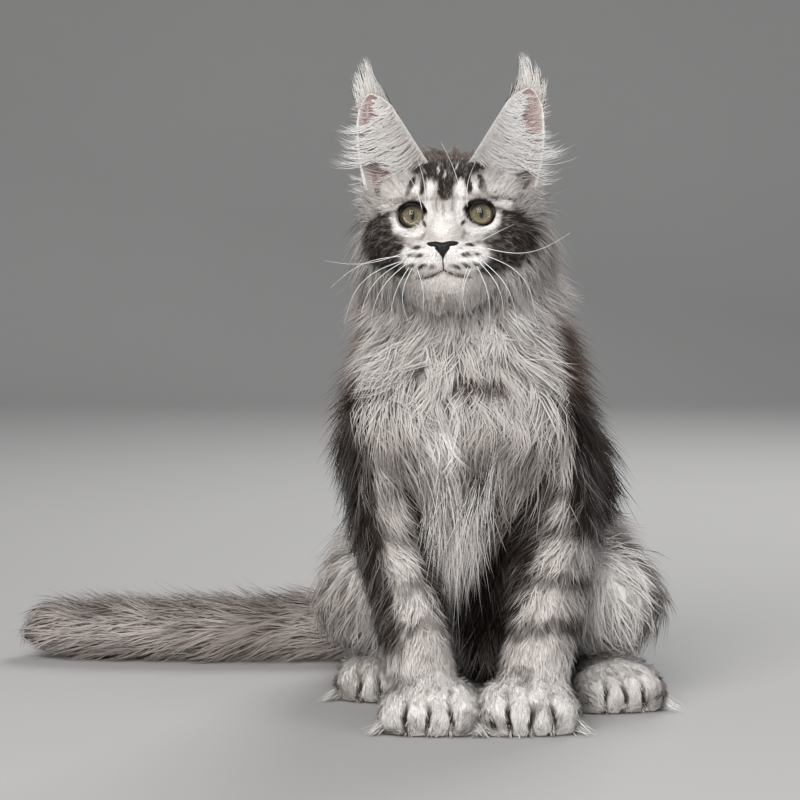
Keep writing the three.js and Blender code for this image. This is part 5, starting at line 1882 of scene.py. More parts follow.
class ToeTufts:
    """Wisps of long hair from between the toes and beside them, along the floor."""

    EACH = 34
    PLACES = (-2.05, -1.0, 0.0, 1.0, 2.05)  # the outer two are beside the foot

    def grow(self) -> Tufts:
        """The wisps of all four feet. Each starts in a cleft low down and runs ahead, down to the floor.

        Returns:
            The tufts.
        """
        random = np.random.default_rng(61)
        roots, ways, lengths = [], [], []
        for paw, ahead, across, spread, reach in PAWS.feet:
            for place in self.PLACES:
                outer = abs(place) > 2
                at = paw + across * place * spread * (0.94 if outer else 1.0)
                at = at + ahead * (reach - (2 if outer else 0))
                jitter = random.normal(size=(self.EACH, 3)) * vec(1.4, 1.4, 2.6)
                roots.append(vec(at[0], at[1], 8.0) + jitter)
                fan = ahead + across * (0.5 * place if outer else 0.12 * place)
                ways.append(unit(fan + random.normal(size=(self.EACH, 3)) * 0.13))
                lengths.append(random.uniform(6, 13, self.EACH) * (1.6 if outer else 1.0))
        root, way, length = np.concatenate(roots), np.concatenate(ways), np.concatenate(lengths)
        t = np.linspace(0, 1, 5)[None, :, None]
        lines = root[:, None] + way[:, None] * length[:, None, None] * t
        lines = lines - vec(0, 0, 1) * np.maximum(root[:, 2] - 1.5, 0)[:, None, None] * t**1.2
        lines[..., 2] = np.maximum(lines[..., 2], 0.6)
        n = len(root)
        out = np.broadcast_to(vec(0, 0, 1), lines.shape)
        shade = 1 + 0.12 * random.normal(size=(n, 1, 1))
        colours = (linear((196, 190, 185)) * (1 - t) + linear((250, 247, 244)) * t) * shade
        place = Unwrap((0, 0, 0), (0, -200, 1)).at(root)
        return Tufts(lines, out, random.uniform(0.5, 0.8, n), colours, place)


class Coat:
    """The tufts of the coat, grown on the skin region by region."""

    SINK = 0.8  # how deep in the skin a tuft starts
    FLOOR = 0.5
    BARE = 8.0  # no hair grows this near to an eye's axis

    def __init__(self, skin: Skin) -> None:
        """Keeps the skin that the tufts grow on."""
        self.skin = skin

    def _thickness(self, region: CoatRegion) -> Callable[[Array, Flesh], Array]:
        """How thickly a region's coat grows, as a function of points on the skin.

        Args:
            region: the kind of coat.

        Returns:
            The function.
        """
        values = [g.value for g in region.groups]

        def weight(p: Array, flesh: Flesh) -> Array:
            """1 inside the region, less where the coat is long, none at the eyes or under the feet.

            Args:
                p: points, (n, 3).
                flesh: the flesh at the points.

            Returns:
                (n,) weights.
            """
            low, high = region.deep
            own = np.isin(flesh.nearest, values) * ramp(flesh.depth, 0.75 * low - 0.1, 1.25 * low)
            own = own * ramp(flesh.depth, 1.25 * high, 0.75 * high) * (p[:, 2] > 1.5)
            if region.window is not None:
                for k, (start, end) in enumerate(region.window):
                    own = own * ramp(p[:, k], start, start + 8) * ramp(p[:, k], end, end - 8)
            for side in Side:
                v = p - HEAD.eye(side)
                ahead, aside = v @ HEAD.gaze(side), Eye.off_axis(v)
                own = own * ((aside > self.BARE) | (ahead < 0) | (ahead > 40))
            q = HEAD.into(p)
            if region.apart > 0:
                own = own * ramp(np.abs(q[:, 0]), region.apart, region.apart + 6.0)
            own = own * ((np.abs(q[:, 0]) > Muzzle.half_at(q[:, 2]) - 0.4) | (q[:, 1] > -26))
            feet = p[:, 2] < FEET_TOP
            own[feet] = own[feet] * (1.05 - PAWS.fold(p[feet]))
            behind = 1 - 0.45 * ramp(p[:, 1], -60.0, 0.0)
            return own * behind / (4.0 + flesh.depth)

        return weight

    def _guides(self, roots: Array, length: Array, rise: Array, region: CoatRegion,
                random: np.random.Generator) -> tuple[Array, Array]:
        """Lines that follow the lie from roots on the skin, rising over it as t^0.8 on the way.

        Args:
            roots: (m, 3) points.
            length: (m,) lengths.
            rise: (m,) heights of the tips over the skin.
            region: for the steps and the wave.
            random: the draw.

        Returns:
            Lines, (m, steps + 1, 3), and the outward direction along them.
        """
        m, steps = len(roots), region.steps
        turn = region.wave * random.normal(size=m)
        curl = region.wave * 1.4 * random.normal(size=m)
        phase = random.random(m)
        p = roots.copy()
        points, outs = [], []
        for k in range(steps + 1):
            t = k / steps
            height = -self.SINK + (self.SINK + rise) * t**0.8
            free = region.hang > 0 and t > 0.35
            if not free:
                p, n = BODY.settle(p, height)
            p[:, 2] = np.maximum(p[:, 2], self.FLOOR)
            points.append(p)
            outs.append(n)
            if k == steps:
                break
            if free:
                way = unit(way + region.hang * vec(0, -0.12, -1))
                p = p + way * (length / steps)[:, None]
                continue
            way = LIE.at(p)
            way = unit(way - n * (way * n).sum(1, keepdims=True))
            swing = region.curl * np.sin(2 * math.pi * (1.15 * t + phase))
            angle = (turn + curl * (t - 0.3) + swing)[:, None]
            way = way * np.cos(angle) + np.cross(n, way) * np.sin(angle)
            p = p + way * (length / steps)[:, None]
        return np.stack(points, axis=1), np.stack(outs, axis=1)

    @staticmethod
    def _nearest(p: Array, centres: Array) -> Array:
        """The nearest centre to each point, by comparing in blocks.

        Args:
            p: (n, 3) points.
            centres: (m, 3) points.

        Returns:
            (n,) numbers of centres.
        """
        square, most = (centres**2).sum(1), 4000
        blocks = [p[start : start + most] for start in range(0, len(p), most)]
        return np.concatenate([np.argmin(square[None] - 2 * b @ centres.T, axis=1) for b in blocks])

    def grow(self, region: CoatRegion) -> Tufts:
        """The tufts of a region.

        Tufts start at random points of the skin. Each takes the line of the nearest lock's guide and draws
        towards it on the way to the tip, p(t) = root + guide(t) - guide(0), moved by gather t^1.3 of the
        distance to the guide.

        Args:
            region: the kind of coat.

        Returns:
            The tufts.
        """
        random = np.random.default_rng(region.seed)
        weight = self._thickness(region)
        roots = self.skin.roots(region.tufts, weight, region.seed + 100)
        area = float((self.skin.areas * (weight(self.skin.middles, self.skin.flesh) > 0)).sum())
        locks = int(max(60, min(region.tufts / 3, area / region.clump**2)))
        centres = self.skin.roots(locks, weight, region.seed + 200)
        there = BODY.at(centres)
        fit = self._face_share(centres) if region.short else np.ones(locks)
        length = np.minimum(there.coat * region.long, 2.0 + 2.1 * there.depth * region.long)
        length = np.clip(length * random.uniform(0.8, 1.2, locks), region.least, region.most) * fit
        rise = there.depth * region.rise * random.uniform(0.72, 1.12, locks) * fit
        guides, outs = self._guides(centres, length, rise, region, random)
        mine = self._nearest(roots, centres)
        n, t = len(roots), np.linspace(0, 1, region.steps + 1)
        lean = random.normal(size=(n, 1, 3)) * 0.10
        scale = random.uniform(0.72, 1.12, n)[:, None, None]
        course = guides[mine] - guides[mine][:, :1]
        reach = np.linalg.norm(course[:, -1], axis=1)[:, None, None]
        strays = random.random(n) < region.stray
        gather = np.where(strays, -0.35, region.gather * random.uniform(0.55, 1.1, n))[:, None, None]
        draw = gather * (t**1.3)[None, :, None]
        apart = roots - centres[mine]
        apart = apart - outs[mine][:, 0] * (apart * outs[mine][:, 0]).sum(1, keepdims=True)
        lines = roots[:, None] + course * scale - apart[:, None] * draw
        lines = lines + lean * reach * (t**1.6)[None, :, None]
        lines[..., 2] = np.maximum(lines[..., 2], self.FLOOR)
        sag = region.droop * reach[:, :, 0] * (t**2)[None, :]
        lines[..., 2] = np.maximum(lines[..., 2] - sag, self.FLOOR)
        width = random.uniform(*region.width, n) * (1 + 0.35 * ramp(roots[:, 1], -60.0, 0.0))
        blur = 1.0 if region.slot is Slot.FACE else 0.55
        middle = lines[:, (region.steps + 1) // 2][:, None]
        seen = middle + blur * (lines - middle) + random.normal(size=(n, 1, 3)) * 0.035 * reach
        tones = MARKINGS.at(seen.reshape(-1, 3))
        tones.dark = tones.dark * (1 - region.pale)
        tones.white = np.maximum(tones.white, region.pale * 0.8)
        shade = random.normal(size=locks)[mine] * region.patchy + random.normal(size=n) * 0.03
        shade = np.repeat(shade, len(t))
        tones.dark = np.clip(tones.dark + shade * (0.5 + tones.dark), 0.0, 1.0)
        own = 1 + region.vary * np.repeat(random.normal(size=n), len(t))[:, None]
        colours = hair_colour(tones, np.tile(t, n)) * own
        colours = colours.reshape(n, len(t), 3)
        return Tufts(lines, outs[mine], width, colours, region.wrap.at(roots))

    @staticmethod
    def _face_share(p: Array) -> Array:
        """How much shorter the hair is about the eyes and on the muzzle.

        Args:
            p: points, (n, 3).

        Returns:
            (n,) shares of the length.
        """
        share = np.ones(len(p))
        for side in Side:
            far = np.linalg.norm(p - HEAD.eye(side), axis=1)
            share = np.minimum(share, 0.36 + 0.64 * ramp(far, 12.0, 25.0))
        muzzle = np.linalg.norm(p - HEAD.out(vec(0, -30, -26)), axis=1)
        return np.minimum(share, 0.5 + 0.5 * ramp(muzzle, 18.0, 38.0))


FORES = (Group.FORE_LEFT, Group.FORE_RIGHT)
HINDS = (Group.HIND_LEFT, Group.HIND_RIGHT)
HEADS = (Group.HEAD, Group.JAW)
HEAD_WRAP = Unwrap((-25, -160, 280), (-30, -80, 310))
TRUNK_WRAP = Unwrap((-15, -92, 240), (3, 30, 40))
REGIONS = (
    CoatRegion("fur_face", HEADS, 17200, 2, HEAD_WRAP, 1.3, 0.7, (0.34, 0.55), 2.6, 11, clump=2.0, gather=0.2,
               wave=0.12, stray=0.02, curl=0.04, deep=(0, 4.5), slot=Slot.FACE, short=True, seed=3),
    CoatRegion("fur_jaw", HEADS, 1300, 4, HEAD_WRAP, 2.0, 1.0, (0.35, 0.6), 11, 18, clump=4.0, gather=0.4,
               wave=0.15, stray=0.05, hang=0.3, window=((-58, 8), (-190, -120), (238, 266)),
               slot=Slot.FACE, seed=25),
    CoatRegion("fur_temple", HEADS, 1900, 3, HEAD_WRAP, 2.0, 1.6, (0.34, 0.55), 8, 13, clump=4.0, gather=0.4,
               wave=0.3, stray=0.08, apart=22.0, window=((-90, 40), (-160, -88), (306, 340)),
               slot=Slot.FACE, seed=27),
    CoatRegion("fur_cheeks", HEADS, 6800, 4, HEAD_WRAP, 1.65, 1.3, (0.4, 0.7), 8, 55, clump=5.0, gather=0.55,
               wave=0.25, stray=0.14, droop=0.06, deep=(4.5, 99), slot=Slot.FACE, seed=5),
    CoatRegion("fur_ruff", (Group.NECK,), 9200, 4, TRUNK_WRAP, 1.25, 0.85, (0.5, 0.85), clump=7.5, gather=0.7,
               curl=0.35, droop=0.05, seed=7),
    CoatRegion("fur_trunk", (Group.TRUNK,), 11600, 3, TRUNK_WRAP, 1.5, 0.8, (0.6, 1.0), clump=8.0,
               gather=0.65, wave=0.28, stray=0.05, droop=0.05, seed=9),
    CoatRegion("fur_bib", (Group.TRUNK,), 1500, 6, TRUNK_WRAP, 2.4, 1.3, (0.38, 0.62), 45, 100, clump=7.0,
               gather=0.85, wave=0.08, stray=0.05, curl=0.14, hang=0.35, pale=0.8, patchy=0.25,
               window=((-46, 12), (-170, -108), (120, 190)), seed=23),
    CoatRegion("fur_forelegs", FORES, 12400, 2, Unwrap((-8, -110, 150), (-8, -160, 10)), 1.6, 0.75,
               (0.48, 0.8), 5, clump=4.5, gather=0.45, wave=0.2, stray=0.04, curl=0.08, deep=(1.9, 99),
               seed=11),
    CoatRegion("fur_haunches", HINDS, 7500, 3, Unwrap((0, 20, 110), (0, -60, 0)), 1.5, 0.8, (0.55, 0.95),
               clump=7.0, wave=0.26, stray=0.07, droop=0.08, deep=(4, 99), seed=13),
    CoatRegion("fur_forepaws", FORES, 6600, 2, Unwrap((-8, -140, 40), (-8, -195, 0)), 1.6, 1.3, (0.34, 0.56),
               4.5, clump=3.6, wave=0.22, deep=(0, 1.9), vary=0.1, patchy=0.2, slot=Slot.PALE, seed=15),
    CoatRegion("fur_hind_feet", HINDS, 4600, 2, Unwrap((0, 10, 40), (0, -110, 0)), 1.6, 1.3, (0.36, 0.6),
               4.5, clump=3.8, wave=0.22, deep=(0, 4), vary=0.1, patchy=0.2, slot=Slot.PALE, seed=17),
    CoatRegion("fur_tail", (Group.TAIL,), 6200, 3, Unwrap((-20, 60, 30), (-300, 70, 20)), 1.5, 0.85,
               (0.5, 0.85), clump=5.0, gather=0.35, wave=0.12, stray=0.03, seed=19),
)


# The eyes


class Eye:
    """An eyeball with its iris and pupil, a clear cornea, and the dark rims of the lids."""

    IRIS = 9.0
    PUPIL = (1.2, 2.8)
    CORNEA = 8.6  # the radius of the cap
    BULGE = 0.9
    IRIS_DEPTH = 1.7
    COLOURS = ((104, 97, 71), (142, 130, 102), (24, 22, 17), (6, 6, 6), (96, 84, 76))
    OPENING = (7.85, 6.5)  # half-axes of the lids' oval
    LID_COLOUR = (20, 16, 16)

    @staticmethod
    def off_axis(v: Array) -> Array:
        """How far places from an eye's centre lie off its gaze, in an oval measure, wider than high."""
        q = v @ HEAD.turn
        return np.hypot(q[:, 0] / 1.07, q[:, 2] / 0.93)

    def __init__(self, side: Side) -> None:
        """Sets the eye's own frame: across to the outside, up, and ahead along its gaze.

        Args:
            side: the side of the eye.
        """
        self.side = side
        self.centre = HEAD.eye(side)
        self.ahead = HEAD.gaze(side)
        up = HEAD.way(vec(0, 0, 1))
        self.across = unit(np.cross(up, self.ahead))
        if self.across @ HEAD.way(vec(side.value, 0, 0)) < 0:
            self.across = -self.across
        self.up = unit(np.cross(self.ahead, self.across))
        if self.up @ up < 0:
            self.up = -self.up

    def place(self, u: Array, w: Array, depth: Array) -> Array:
        """Points from their place across, up and ahead of the eye's centre."""
        return self.centre + np.stack([u, w, depth], -1) @ np.stack([self.across, self.up, self.ahead])

    def _disc(self, depth: Array, rings: Array, sectors: int) -> tuple[Array, Array, Array, Array]:
        """A round surface of rings about the gaze, nearly closed at both poles.

        Args:
            depth: (k,) how far ahead each ring lies.
            rings: (k,) radii.
            sectors: points in a ring.

        Returns:
            Vertices, quads, and each vertex's radius and angle.
        """
        radius = np.repeat(rings, sectors)
        angle = np.tile(np.arange(sectors) * 2 * math.pi / sectors, len(rings))
        points = self.place(radius * np.cos(angle), radius * np.sin(angle), np.repeat(depth, sectors))
        quads = grid_quads(len(rings), sectors)[:, TURNED]
        if np.linalg.det(np.stack([self.across, self.up, self.ahead])) < 0:
            quads = quads[:, ::-1]
        return points, quads, radius, angle

    def ball(self, finishes: Finishes) -> None:
        """Makes the eyeball: a sphere with the iris as a shallow cone sunk behind the cornea.

        Args:
            finishes: the kitten's materials.
        """
        r, sectors = EYEBALL_RADIUS - 0.12, 64
        edge = math.asin(self.IRIS / r)
        inner, behind = np.linspace(0.012, 1.0, 26), np.linspace(edge + 0.06, math.pi - 0.02, 30)
        rings = np.concatenate([inner * self.IRIS, r * np.sin(behind)])
        sunk = r * math.cos(edge) - self.IRIS_DEPTH * (1 - inner**2) * 0.5
        depth = np.concatenate([sunk, r * np.cos(behind)])
        points, quads, radius, angle = self._disc(depth, rings, sectors)
        iris = np.repeat(np.arange(len(rings)) < len(inner), sectors)
        word = self.side.word
        piece = make_piece(f"eyeball_{word}", (points, quads), Slot.EYE, finishes.eye,
                           self._colours(radius, angle, iris), [f"eye_{word}"])
        unwrap(piece, "Iris", np.stack([angle / (2 * math.pi), radius / self.IRIS], 1))

    def _colours(self, radius: Array, angle: Array, iris: Array) -> Array:
        """The pupil black, the iris khaki, greener inside, dark at its rim and darker at its top as painted
        shade of the upper lid, and the white beyond.

        Args:
            radius: each vertex's distance from the gaze.
            angle: each vertex's angle round it.
            iris: whether each vertex is on the iris.

        Returns:
            (n, 3) linear colours.
        """
        green, khaki, rim, black, white = (linear(c) for c in self.COLOURS)
        r = radius / self.IRIS
        t = ramp(r, 0.25, 0.62)[:, None]
        colour = green * (1 - t) + khaki * t
        dark = ramp(r, 0.83, 0.95)[:, None]
        colour = colour * (1 - dark) + rim * dark
        u, w = radius * np.cos(angle), radius * np.sin(angle)
        # painted shade of the upper lid: the iris darkens towards its top
        colour = colour * (1 - 0.55 * ramp(w, 0.5, 6.5))[:, None]
        d = np.hypot(u / self.PUPIL[0], w / self.PUPIL[1])
        pupil = ramp(d, 1.12, 0.9)[:, None]
        colour = colour * (1 - pupil) + black * pupil
        return np.where(iris[:, None], colour, white)

    def cornea(self, finishes: Finishes) -> None:
        """Makes the clear front: a cap of the ball that bulges a little over the iris, closed behind.

        Args:
            finishes: the kitten's materials.
        """
        r, share = EYEBALL_RADIUS, np.linspace(0.02, 1, 22)
        cap = share * self.CORNEA
        rings = np.concatenate([cap, [self.CORNEA * 0.5, 0.05]])
        front = np.sqrt(r * r - cap**2) + self.BULGE * (1 - (cap / self.CORNEA) ** 2) ** 1.5
        depth = np.concatenate([front, [front[-1] - 0.05, front[-1] - 0.05]])
        points, quads, _, _ = self._disc(depth, rings, 56)
        make_piece(f"cornea_{self.side.word}", (points, quads), Slot.EYE, finishes.cornea)

    def opening(self, a: Array) -> Array:
        """Places, (n, 2), of the lids' edge at angles: an oval with a point at its inner corner.

        Args:
            a: (n,) angles round the gaze.

        Returns:
            The places.
        """
        oval = np.stack([self.OPENING[0] * np.cos(a), self.OPENING[1] * np.sin(a) - 0.15], 1)
        inner, outer = (np.angle(np.exp(1j * (a - math.radians(turn)))) for turn in (214, 12))
        point = 0.28 * np.exp(-((inner / 0.26) ** 2)) + 0.05 * np.exp(-((outer / 0.3) ** 2))
        return oval * (1 + point)[:, None]

    def lids(self, finishes: Finishes) -> None:
        """Makes the dark rims, a closed band round the opening that lies on the ball, thicker above.

        Args:
            finishes: the kitten's materials.
        """
        count, corners = 72, 10
        a = np.arange(count) * 2 * math.pi / count
        edge = self.opening(a)
        thick = 0.26 + 0.34 * ramp(np.sin(a), -0.2, 0.7)
        rows = []
        for b in np.linspace(0, 2 * math.pi, corners, endpoint=False):
            shift = thick * 1.25 * math.cos(b) + thick * 0.9
            flat = edge + unit(edge) * shift[:, None]
            r = EYEBALL_RADIUS + 0.5 + 0.6 * thick * math.sin(b)
            far = np.sqrt(np.maximum(r * r - (flat**2).sum(1), 4.0))
            rows.append(self.place(flat[:, 0], flat[:, 1], far))
        points = np.stack(rows, axis=1).reshape(-1, 3)
        quads = outward_quads(points, grid_quads(count, corners, closed=True)[:, TURNED])
        make_piece(f"lid_rim_{self.side.word}", (points, quads), Slot.NOSE, finishes.lid,
                   linear(self.LID_COLOUR))

    def build(self, finishes: Finishes) -> None:
        """Makes the eye's three pieces.

        Args:
            finishes: the kitten's materials.
        """
        self.ball(finishes)
        self.cornea(finishes)
        self.lids(finishes)


# The nose and mouth


class Muzzle:
    """The nose leather with its nostrils, and the dark edges of the lips."""

    AT = (0.0, -33.0, -21.6)
    HALF = (9.0, 3.6, 5.1)
    NARROW = 0.48  # the leather's width halfway up, as a share of HALF
    FLARE = 1.45  # how fast it widens upwards
    SQUARE = 0.86  # the egg's power; 1 is round
    # the middle colour is painted shade for the nostril pits
    LEATHER, PIT, LIP = (18, 16, 16), (5, 4, 4), (58, 44, 42)

    def __init__(self, face: Face) -> None:
        """Keeps the face's lines."""
        self.face = face

    @classmethod
    def half_at(cls, z: Array) -> Array:
        """The leather's half-width at heights: NARROW exp(FLARE h) of HALF, where h is from -1 to 1.

        Args:
            z: (n,) heights.

        Returns:
            (n,) half-widths.
        """
        h = (z - cls.AT[2]) / cls.HALF[2]
        round_off = np.sqrt(np.clip(1.0 - h * h, 0.0, 1.0)) * (np.abs(h) < 1)
        return cls.HALF[0] * cls.NARROW * np.exp(cls.FLARE * h) * round_off

    def nose(self, finishes: Finishes) -> None:
        """Makes the leather: an egg, broad above and narrow at the lip, with nostrils pressed in and painted
        shade in them.

        Args:
            finishes: the kitten's materials.
        """
        rows, columns = 44, 72
        v = np.linspace(0.02, math.pi - 0.02, rows)
        u = np.arange(columns) * 2 * math.pi / columns
        a, b = np.meshgrid(v, u, indexing="ij")
        y, x, z = -np.cos(a), np.sin(a) * np.cos(b), np.sin(a) * np.sin(b)
        x, z = (np.sign(w) * np.abs(w) ** self.SQUARE for w in (x, z))
        px = self.HALF[0] * x * self.NARROW * np.exp(self.FLARE * z)
        pz = self.HALF[2] * z - 0.5 * np.exp(-((px / 2.2) ** 2)) * (z > 0) * z
        pit = np.zeros_like(y)
        for s in (1, -1):
            d = np.hypot((px - 5.0 * s) / 2.0, pz - 1.6 - 0.3 * (np.abs(px) - 5.0))
            pit = np.maximum(pit, np.exp(-(d**2)) * (y < 0))
        py = self.HALF[1] * y + 1.5 * pit
        py = py + 0.5 * np.exp(-((px / 0.7) ** 2)) * (y < 0) * (pz < 1.5)
        points = HEAD.out(np.stack([px, py, pz], -1).reshape(-1, 3) + vec(*self.AT))
        # painted shade: the nostril pits darker than the leather
        hollow = pit.reshape(-1, 1)
        colours = linear(self.LEATHER) * (1 - hollow) + linear(self.PIT) * hollow
        shape = points, outward_quads(points, grid_quads(rows, columns))
        make_piece("nose_leather", shape, Slot.NOSE, finishes.nose, colours, ["nose"])

    def lips(self, finishes: Finishes) -> None:
        """Makes the dark lips: tapered tubes in the mouth's grooves and under the nose.

        Args:
            finishes: the kitten's materials.
        """
        radii = 0.45 * np.sin(np.linspace(0.5, math.pi - 0.1, 26)) ** 0.7
        parts = [tube(spline(self.face.lips[side], len(radii)), radii, 8) for side in Side]
        parts.append(tube(spline(self.face.philtrum, 16), np.full(16, 0.38), 8, (1, 0.1, 0)))
        make_piece("lips", joined(parts), Slot.NOSE, finishes.lid, linear(self.LIP))

    def build(self, finishes: Finishes) -> None:
        """Makes the nose and the lips."""
        self.nose(finishes)
        self.lips(finishes)


# The ears


class Ear:
    """An ear: a curved leaf of skin, hollow in front, and the hair in, on and round it."""

    INNER_FOOT = vec(9, 11, 26)
    OUTER_FOOT = vec(47.5, 21, 4)
    INNER_TIP = vec(40.5, 27, 77)
    OUTER_TIP = vec(56.0, 29, 75)
    CUP = 17.0
    THICK = 1.9
    # Where the points of the tip's tuft end, (x, z), from the inner edge to the outer one.
    TUFT = {Side.RIGHT: ((-43, 82), (-48, 89), (-52.5, 98), (-53.5, 95), (-57.5, 90), (-59, 83)),
            Side.LEFT: ((42, 84), (45, 92), (44.5, 98), (47, 95), (52.5, 90), (57, 82))}
    PASSING = {Side.RIGHT: (0.42, 0.8), Side.LEFT: (0.36, 0.66)}  # between these, locks pass the outer edge
    ACROSS = 36
    ALONG = 44
    PINK, GREY = (146, 124, 123), (184, 177, 173)
    DARK, RUSTY, EDGE = (74, 66, 61), (118, 92, 76), (190, 184, 180)

    def __init__(self, side: Side) -> None:
        """Keeps the side and a draw of its own."""
        self.side = side
        self.random = np.random.default_rng(40 + side.value)

    def surface(self, u: Array, v: Array) -> Array:
        """Points on the hollow side, in the part's frame.

        Args:
            u: from the inner edge, -1, to the outer edge, 1.
            v: from the foot, 0, to the tip, 1.

        Returns:
            The point between the two edges, pushed back by the cup's depth, CUP (1 - v)^0.7 (1 - u^2). Near
            the tip the edges close in as a circle does.
        """
        u, v = np.broadcast_arrays(np.asarray(u, float), np.asarray(v, float))
        close = np.sqrt(np.clip(1 - (np.clip(v - 0.81, 0, 1) / 0.192) ** 2, 0.004, 1))
        wide = u * close
        inner = self.INNER_FOOT + (self.INNER_TIP - self.INNER_FOOT) * v[..., None]
        outer = self.OUTER_FOOT + (self.OUTER_TIP - self.OUTER_FOOT) * v[..., None]
        outer[..., 0] += 4.5 * np.sin(math.pi * np.minimum(1.0, v * 1.05))
        p = inner + (outer - inner) * ((wide + 1) / 2)[..., None]
        deep = self.CUP * np.clip(1 - v, 0, 1) ** 0.7 * (1 - u * u)
        p[..., 1] += deep
        p[..., 0] -= 0.06 * deep
        p[..., 0] *= self.side.value
        return HEAD.out(p)

    def frame(self, u: Array, v: Array) -> tuple[Array, Array, Array, Array]:
        """Points, the directions across and along the leaf, and the way out of its hollow side.

        Args:
            u: from the inner edge, -1, to the outer edge, 1.
            v: from the foot, 0, to the tip, 1.

        Returns:
            Points and three unit directions, each of the shape of u with 3 coordinates.
        """
        e = 0.02
        p = self.surface(u, v)
        across = unit(self.surface(np.clip(u + e, -1, 1), v) - self.surface(np.clip(u - e, -1, 1), v))
        along = unit(self.surface(u, np.clip(v + e, 0, 0.985)) - self.surface(u, np.clip(v - e, 0, 0.955)))
        hollow = unit(np.cross(across, along)) * self.side.value
        return p, across, along, hollow

    def leaf(self, finishes: Finishes) -> None:
        """Makes the ear's skin: the hollow side and the back, joined round the edge.

        Args:
            finishes: the kitten's materials.
        """
        u, v = np.meshgrid(np.linspace(-1, 1, self.ACROSS + 1), np.linspace(0, 1, self.ALONG + 1) ** 0.9)
        p, _, _, hollow = self.frame(u, v)
        back = p - hollow * self.thickness(u, v)[..., None]
        rows, row = self.ALONG + 1, self.ACROSS + 1
        count = rows * row
        front = grid_quads(rows, row, ring=False)
        left = np.arange(self.ALONG) * row
        right, foot = left + self.ACROSS, np.arange(self.ACROSS)
        top = self.ALONG * row + foot
        edges = [
            np.stack([left, left + row, count + left + row, count + left], 1),
            np.stack([right, count + right, count + right + row, right + row], 1),
            np.stack([foot, count + foot, count + foot + 1, foot + 1], 1),
            np.stack([top, top + 1, count + top + 1, count + top], 1),
        ]
        quads = np.concatenate([front, front[:, TURNED] + count, *edges])
        points = np.concatenate([p.reshape(-1, 3), back.reshape(-1, 3)])
        colours = [self._inside(u, v).reshape(-1, 3), self._outside(u, v).reshape(-1, 3)]
        word = self.side.word
        make_piece(f"ear_skin_{word}", (points, outward_quads(points, quads)), Slot.EAR, finishes.skin,
                   np.concatenate(colours), [f"ear_{word}"])

    def thickness(self, u: Array, v: Array) -> Array:
        """The leaf's thickness, less at its edges and at the tip."""
        return self.THICK * (0.35 + 0.65 * (1 - u**6)) * (0.5 + 0.5 * (1 - v**8))

    @staticmethod
    def _inside(u: Array, v: Array) -> Array:
        """The hollow side's colour: a dull pink that is greyer at the edges.

        Args:
            u: from the inner edge, -1, to the outer edge, 1.
            v: from the foot, 0, to the tip, 1.

        Returns:
            Linear colours.
        """
        pink, grey = linear(Ear.PINK), linear(Ear.GREY)
        t = np.clip(ramp(np.abs(u), 0.62, 0.95) + 0.5 * ramp(v, 0.15, 0.0), 0, 1)[..., None]
        return pink * (1 - t) + grey * t

    @staticmethod
    def _outside(u: Array, v: Array) -> Array:
        """The back's colour: dark grey-brown, rustier at the foot.

        Args:
            u: from the inner edge, -1, to the outer edge, 1.
            v: from the foot, 0, to the tip, 1.

        Returns:
            Linear colours.
        """
        dark, rust, edge = linear(Ear.DARK), linear(Ear.RUSTY), linear(Ear.EDGE)
        t = ramp(v, 0.5, 0.0)[..., None]
        rim = np.maximum(ramp(np.abs(u), 0.5, 0.75), ramp(u, 0.0, -0.4))[..., None]
        return (dark * (1 - t) + rust * t) * (1 - rim) + edge * rim

    @staticmethod
    def _lines(roots: Array, ways: Array, length: Array, bend: Array, steps: int) -> Array:
        """Lines from roots: a straight way, bent by an amount that grows as the square of the place along."""
        t, size = np.linspace(0, 1, steps + 1)[None, :, None], length[:, None, None]
        return roots[:, None] + ways[:, None] * size * t + bend[:, None] * size * t**2

    def _tufts(self, lines: Array, out: Array, width: tuple[float, float], root: Sequence[float],
               tip: Sequence[float], place: tuple[Array, Array], spread: float, half: float = 0.5) -> Tufts:
        """Tufts with a colour from root to tip, varied from one to the next.

        Args:
            lines: (n, k, 3) points.
            out: (n, 3) directions away from the leaf.
            width: the least and the greatest width.
            root: the colour at the root.
            tip: the colour at the tip.
            place: the roots' places on the leaf, u and v.
            spread: how much the colour varies.
            half: where this kind of hair starts on the bake map.

        Returns:
            The tufts.
        """
        n, k, _ = lines.shape
        t = np.linspace(0, 1, k)[None, :, None]
        shade = 1 + spread * self.random.normal(size=(n, 1, 1))
        colours = (linear(root) * (1 - t) + linear(tip) * t) * shade
        wrap = np.stack([half + 0.01 + 0.48 * (place[0] + 1) / 2, 0.01 + 0.98 * place[1]], 1)
        return Tufts(lines, np.repeat(out[:, None], k, 1), self.random.uniform(*width, n), colours, wrap)

    def back(self) -> Tufts:
        """Short fur on the back, lying towards the tip.

        Returns:
            The tufts.
        """
        n = 1550
        u, v = self.random.uniform(-1, 1, n), self.random.random(n) ** 0.9 * 0.93
        p, across, along, hollow = self.frame(u, v)
        ways = unit(along + 0.15 * across * self.random.normal(size=(n, 1)) - 0.22 * hollow)
        edge = np.maximum(ramp(np.abs(u), 0.72, 0.92), ramp(v, 0.76, 0.88))
        length = self.random.uniform(5, 9, n) * (1 - 0.6 * ramp(v, 0.75, 0.95)) * (1 - 0.45 * edge)
        ways = unit(ways - across * (0.25 * edge * np.sign(u))[:, None])
        lines = self._lines(p - hollow * self.thickness(u, v)[:, None], ways, length, 0.1 * hollow, 2)
        made = self._tufts(lines, -hollow, (0.6, 1.0), (96, 86, 80), (66, 58, 54), (u, v), 0.2, 0.0)
        edge = edge[:, None, None]
        made.colours = made.colours * (1 - edge) + linear((205, 199, 195)) * edge
        rusty = ramp(v, 0.55, 0.0)[:, None, None] * 0.5
        made.colours = made.colours * (1 - rusty) + RUST * 1.2 * rusty
        return made

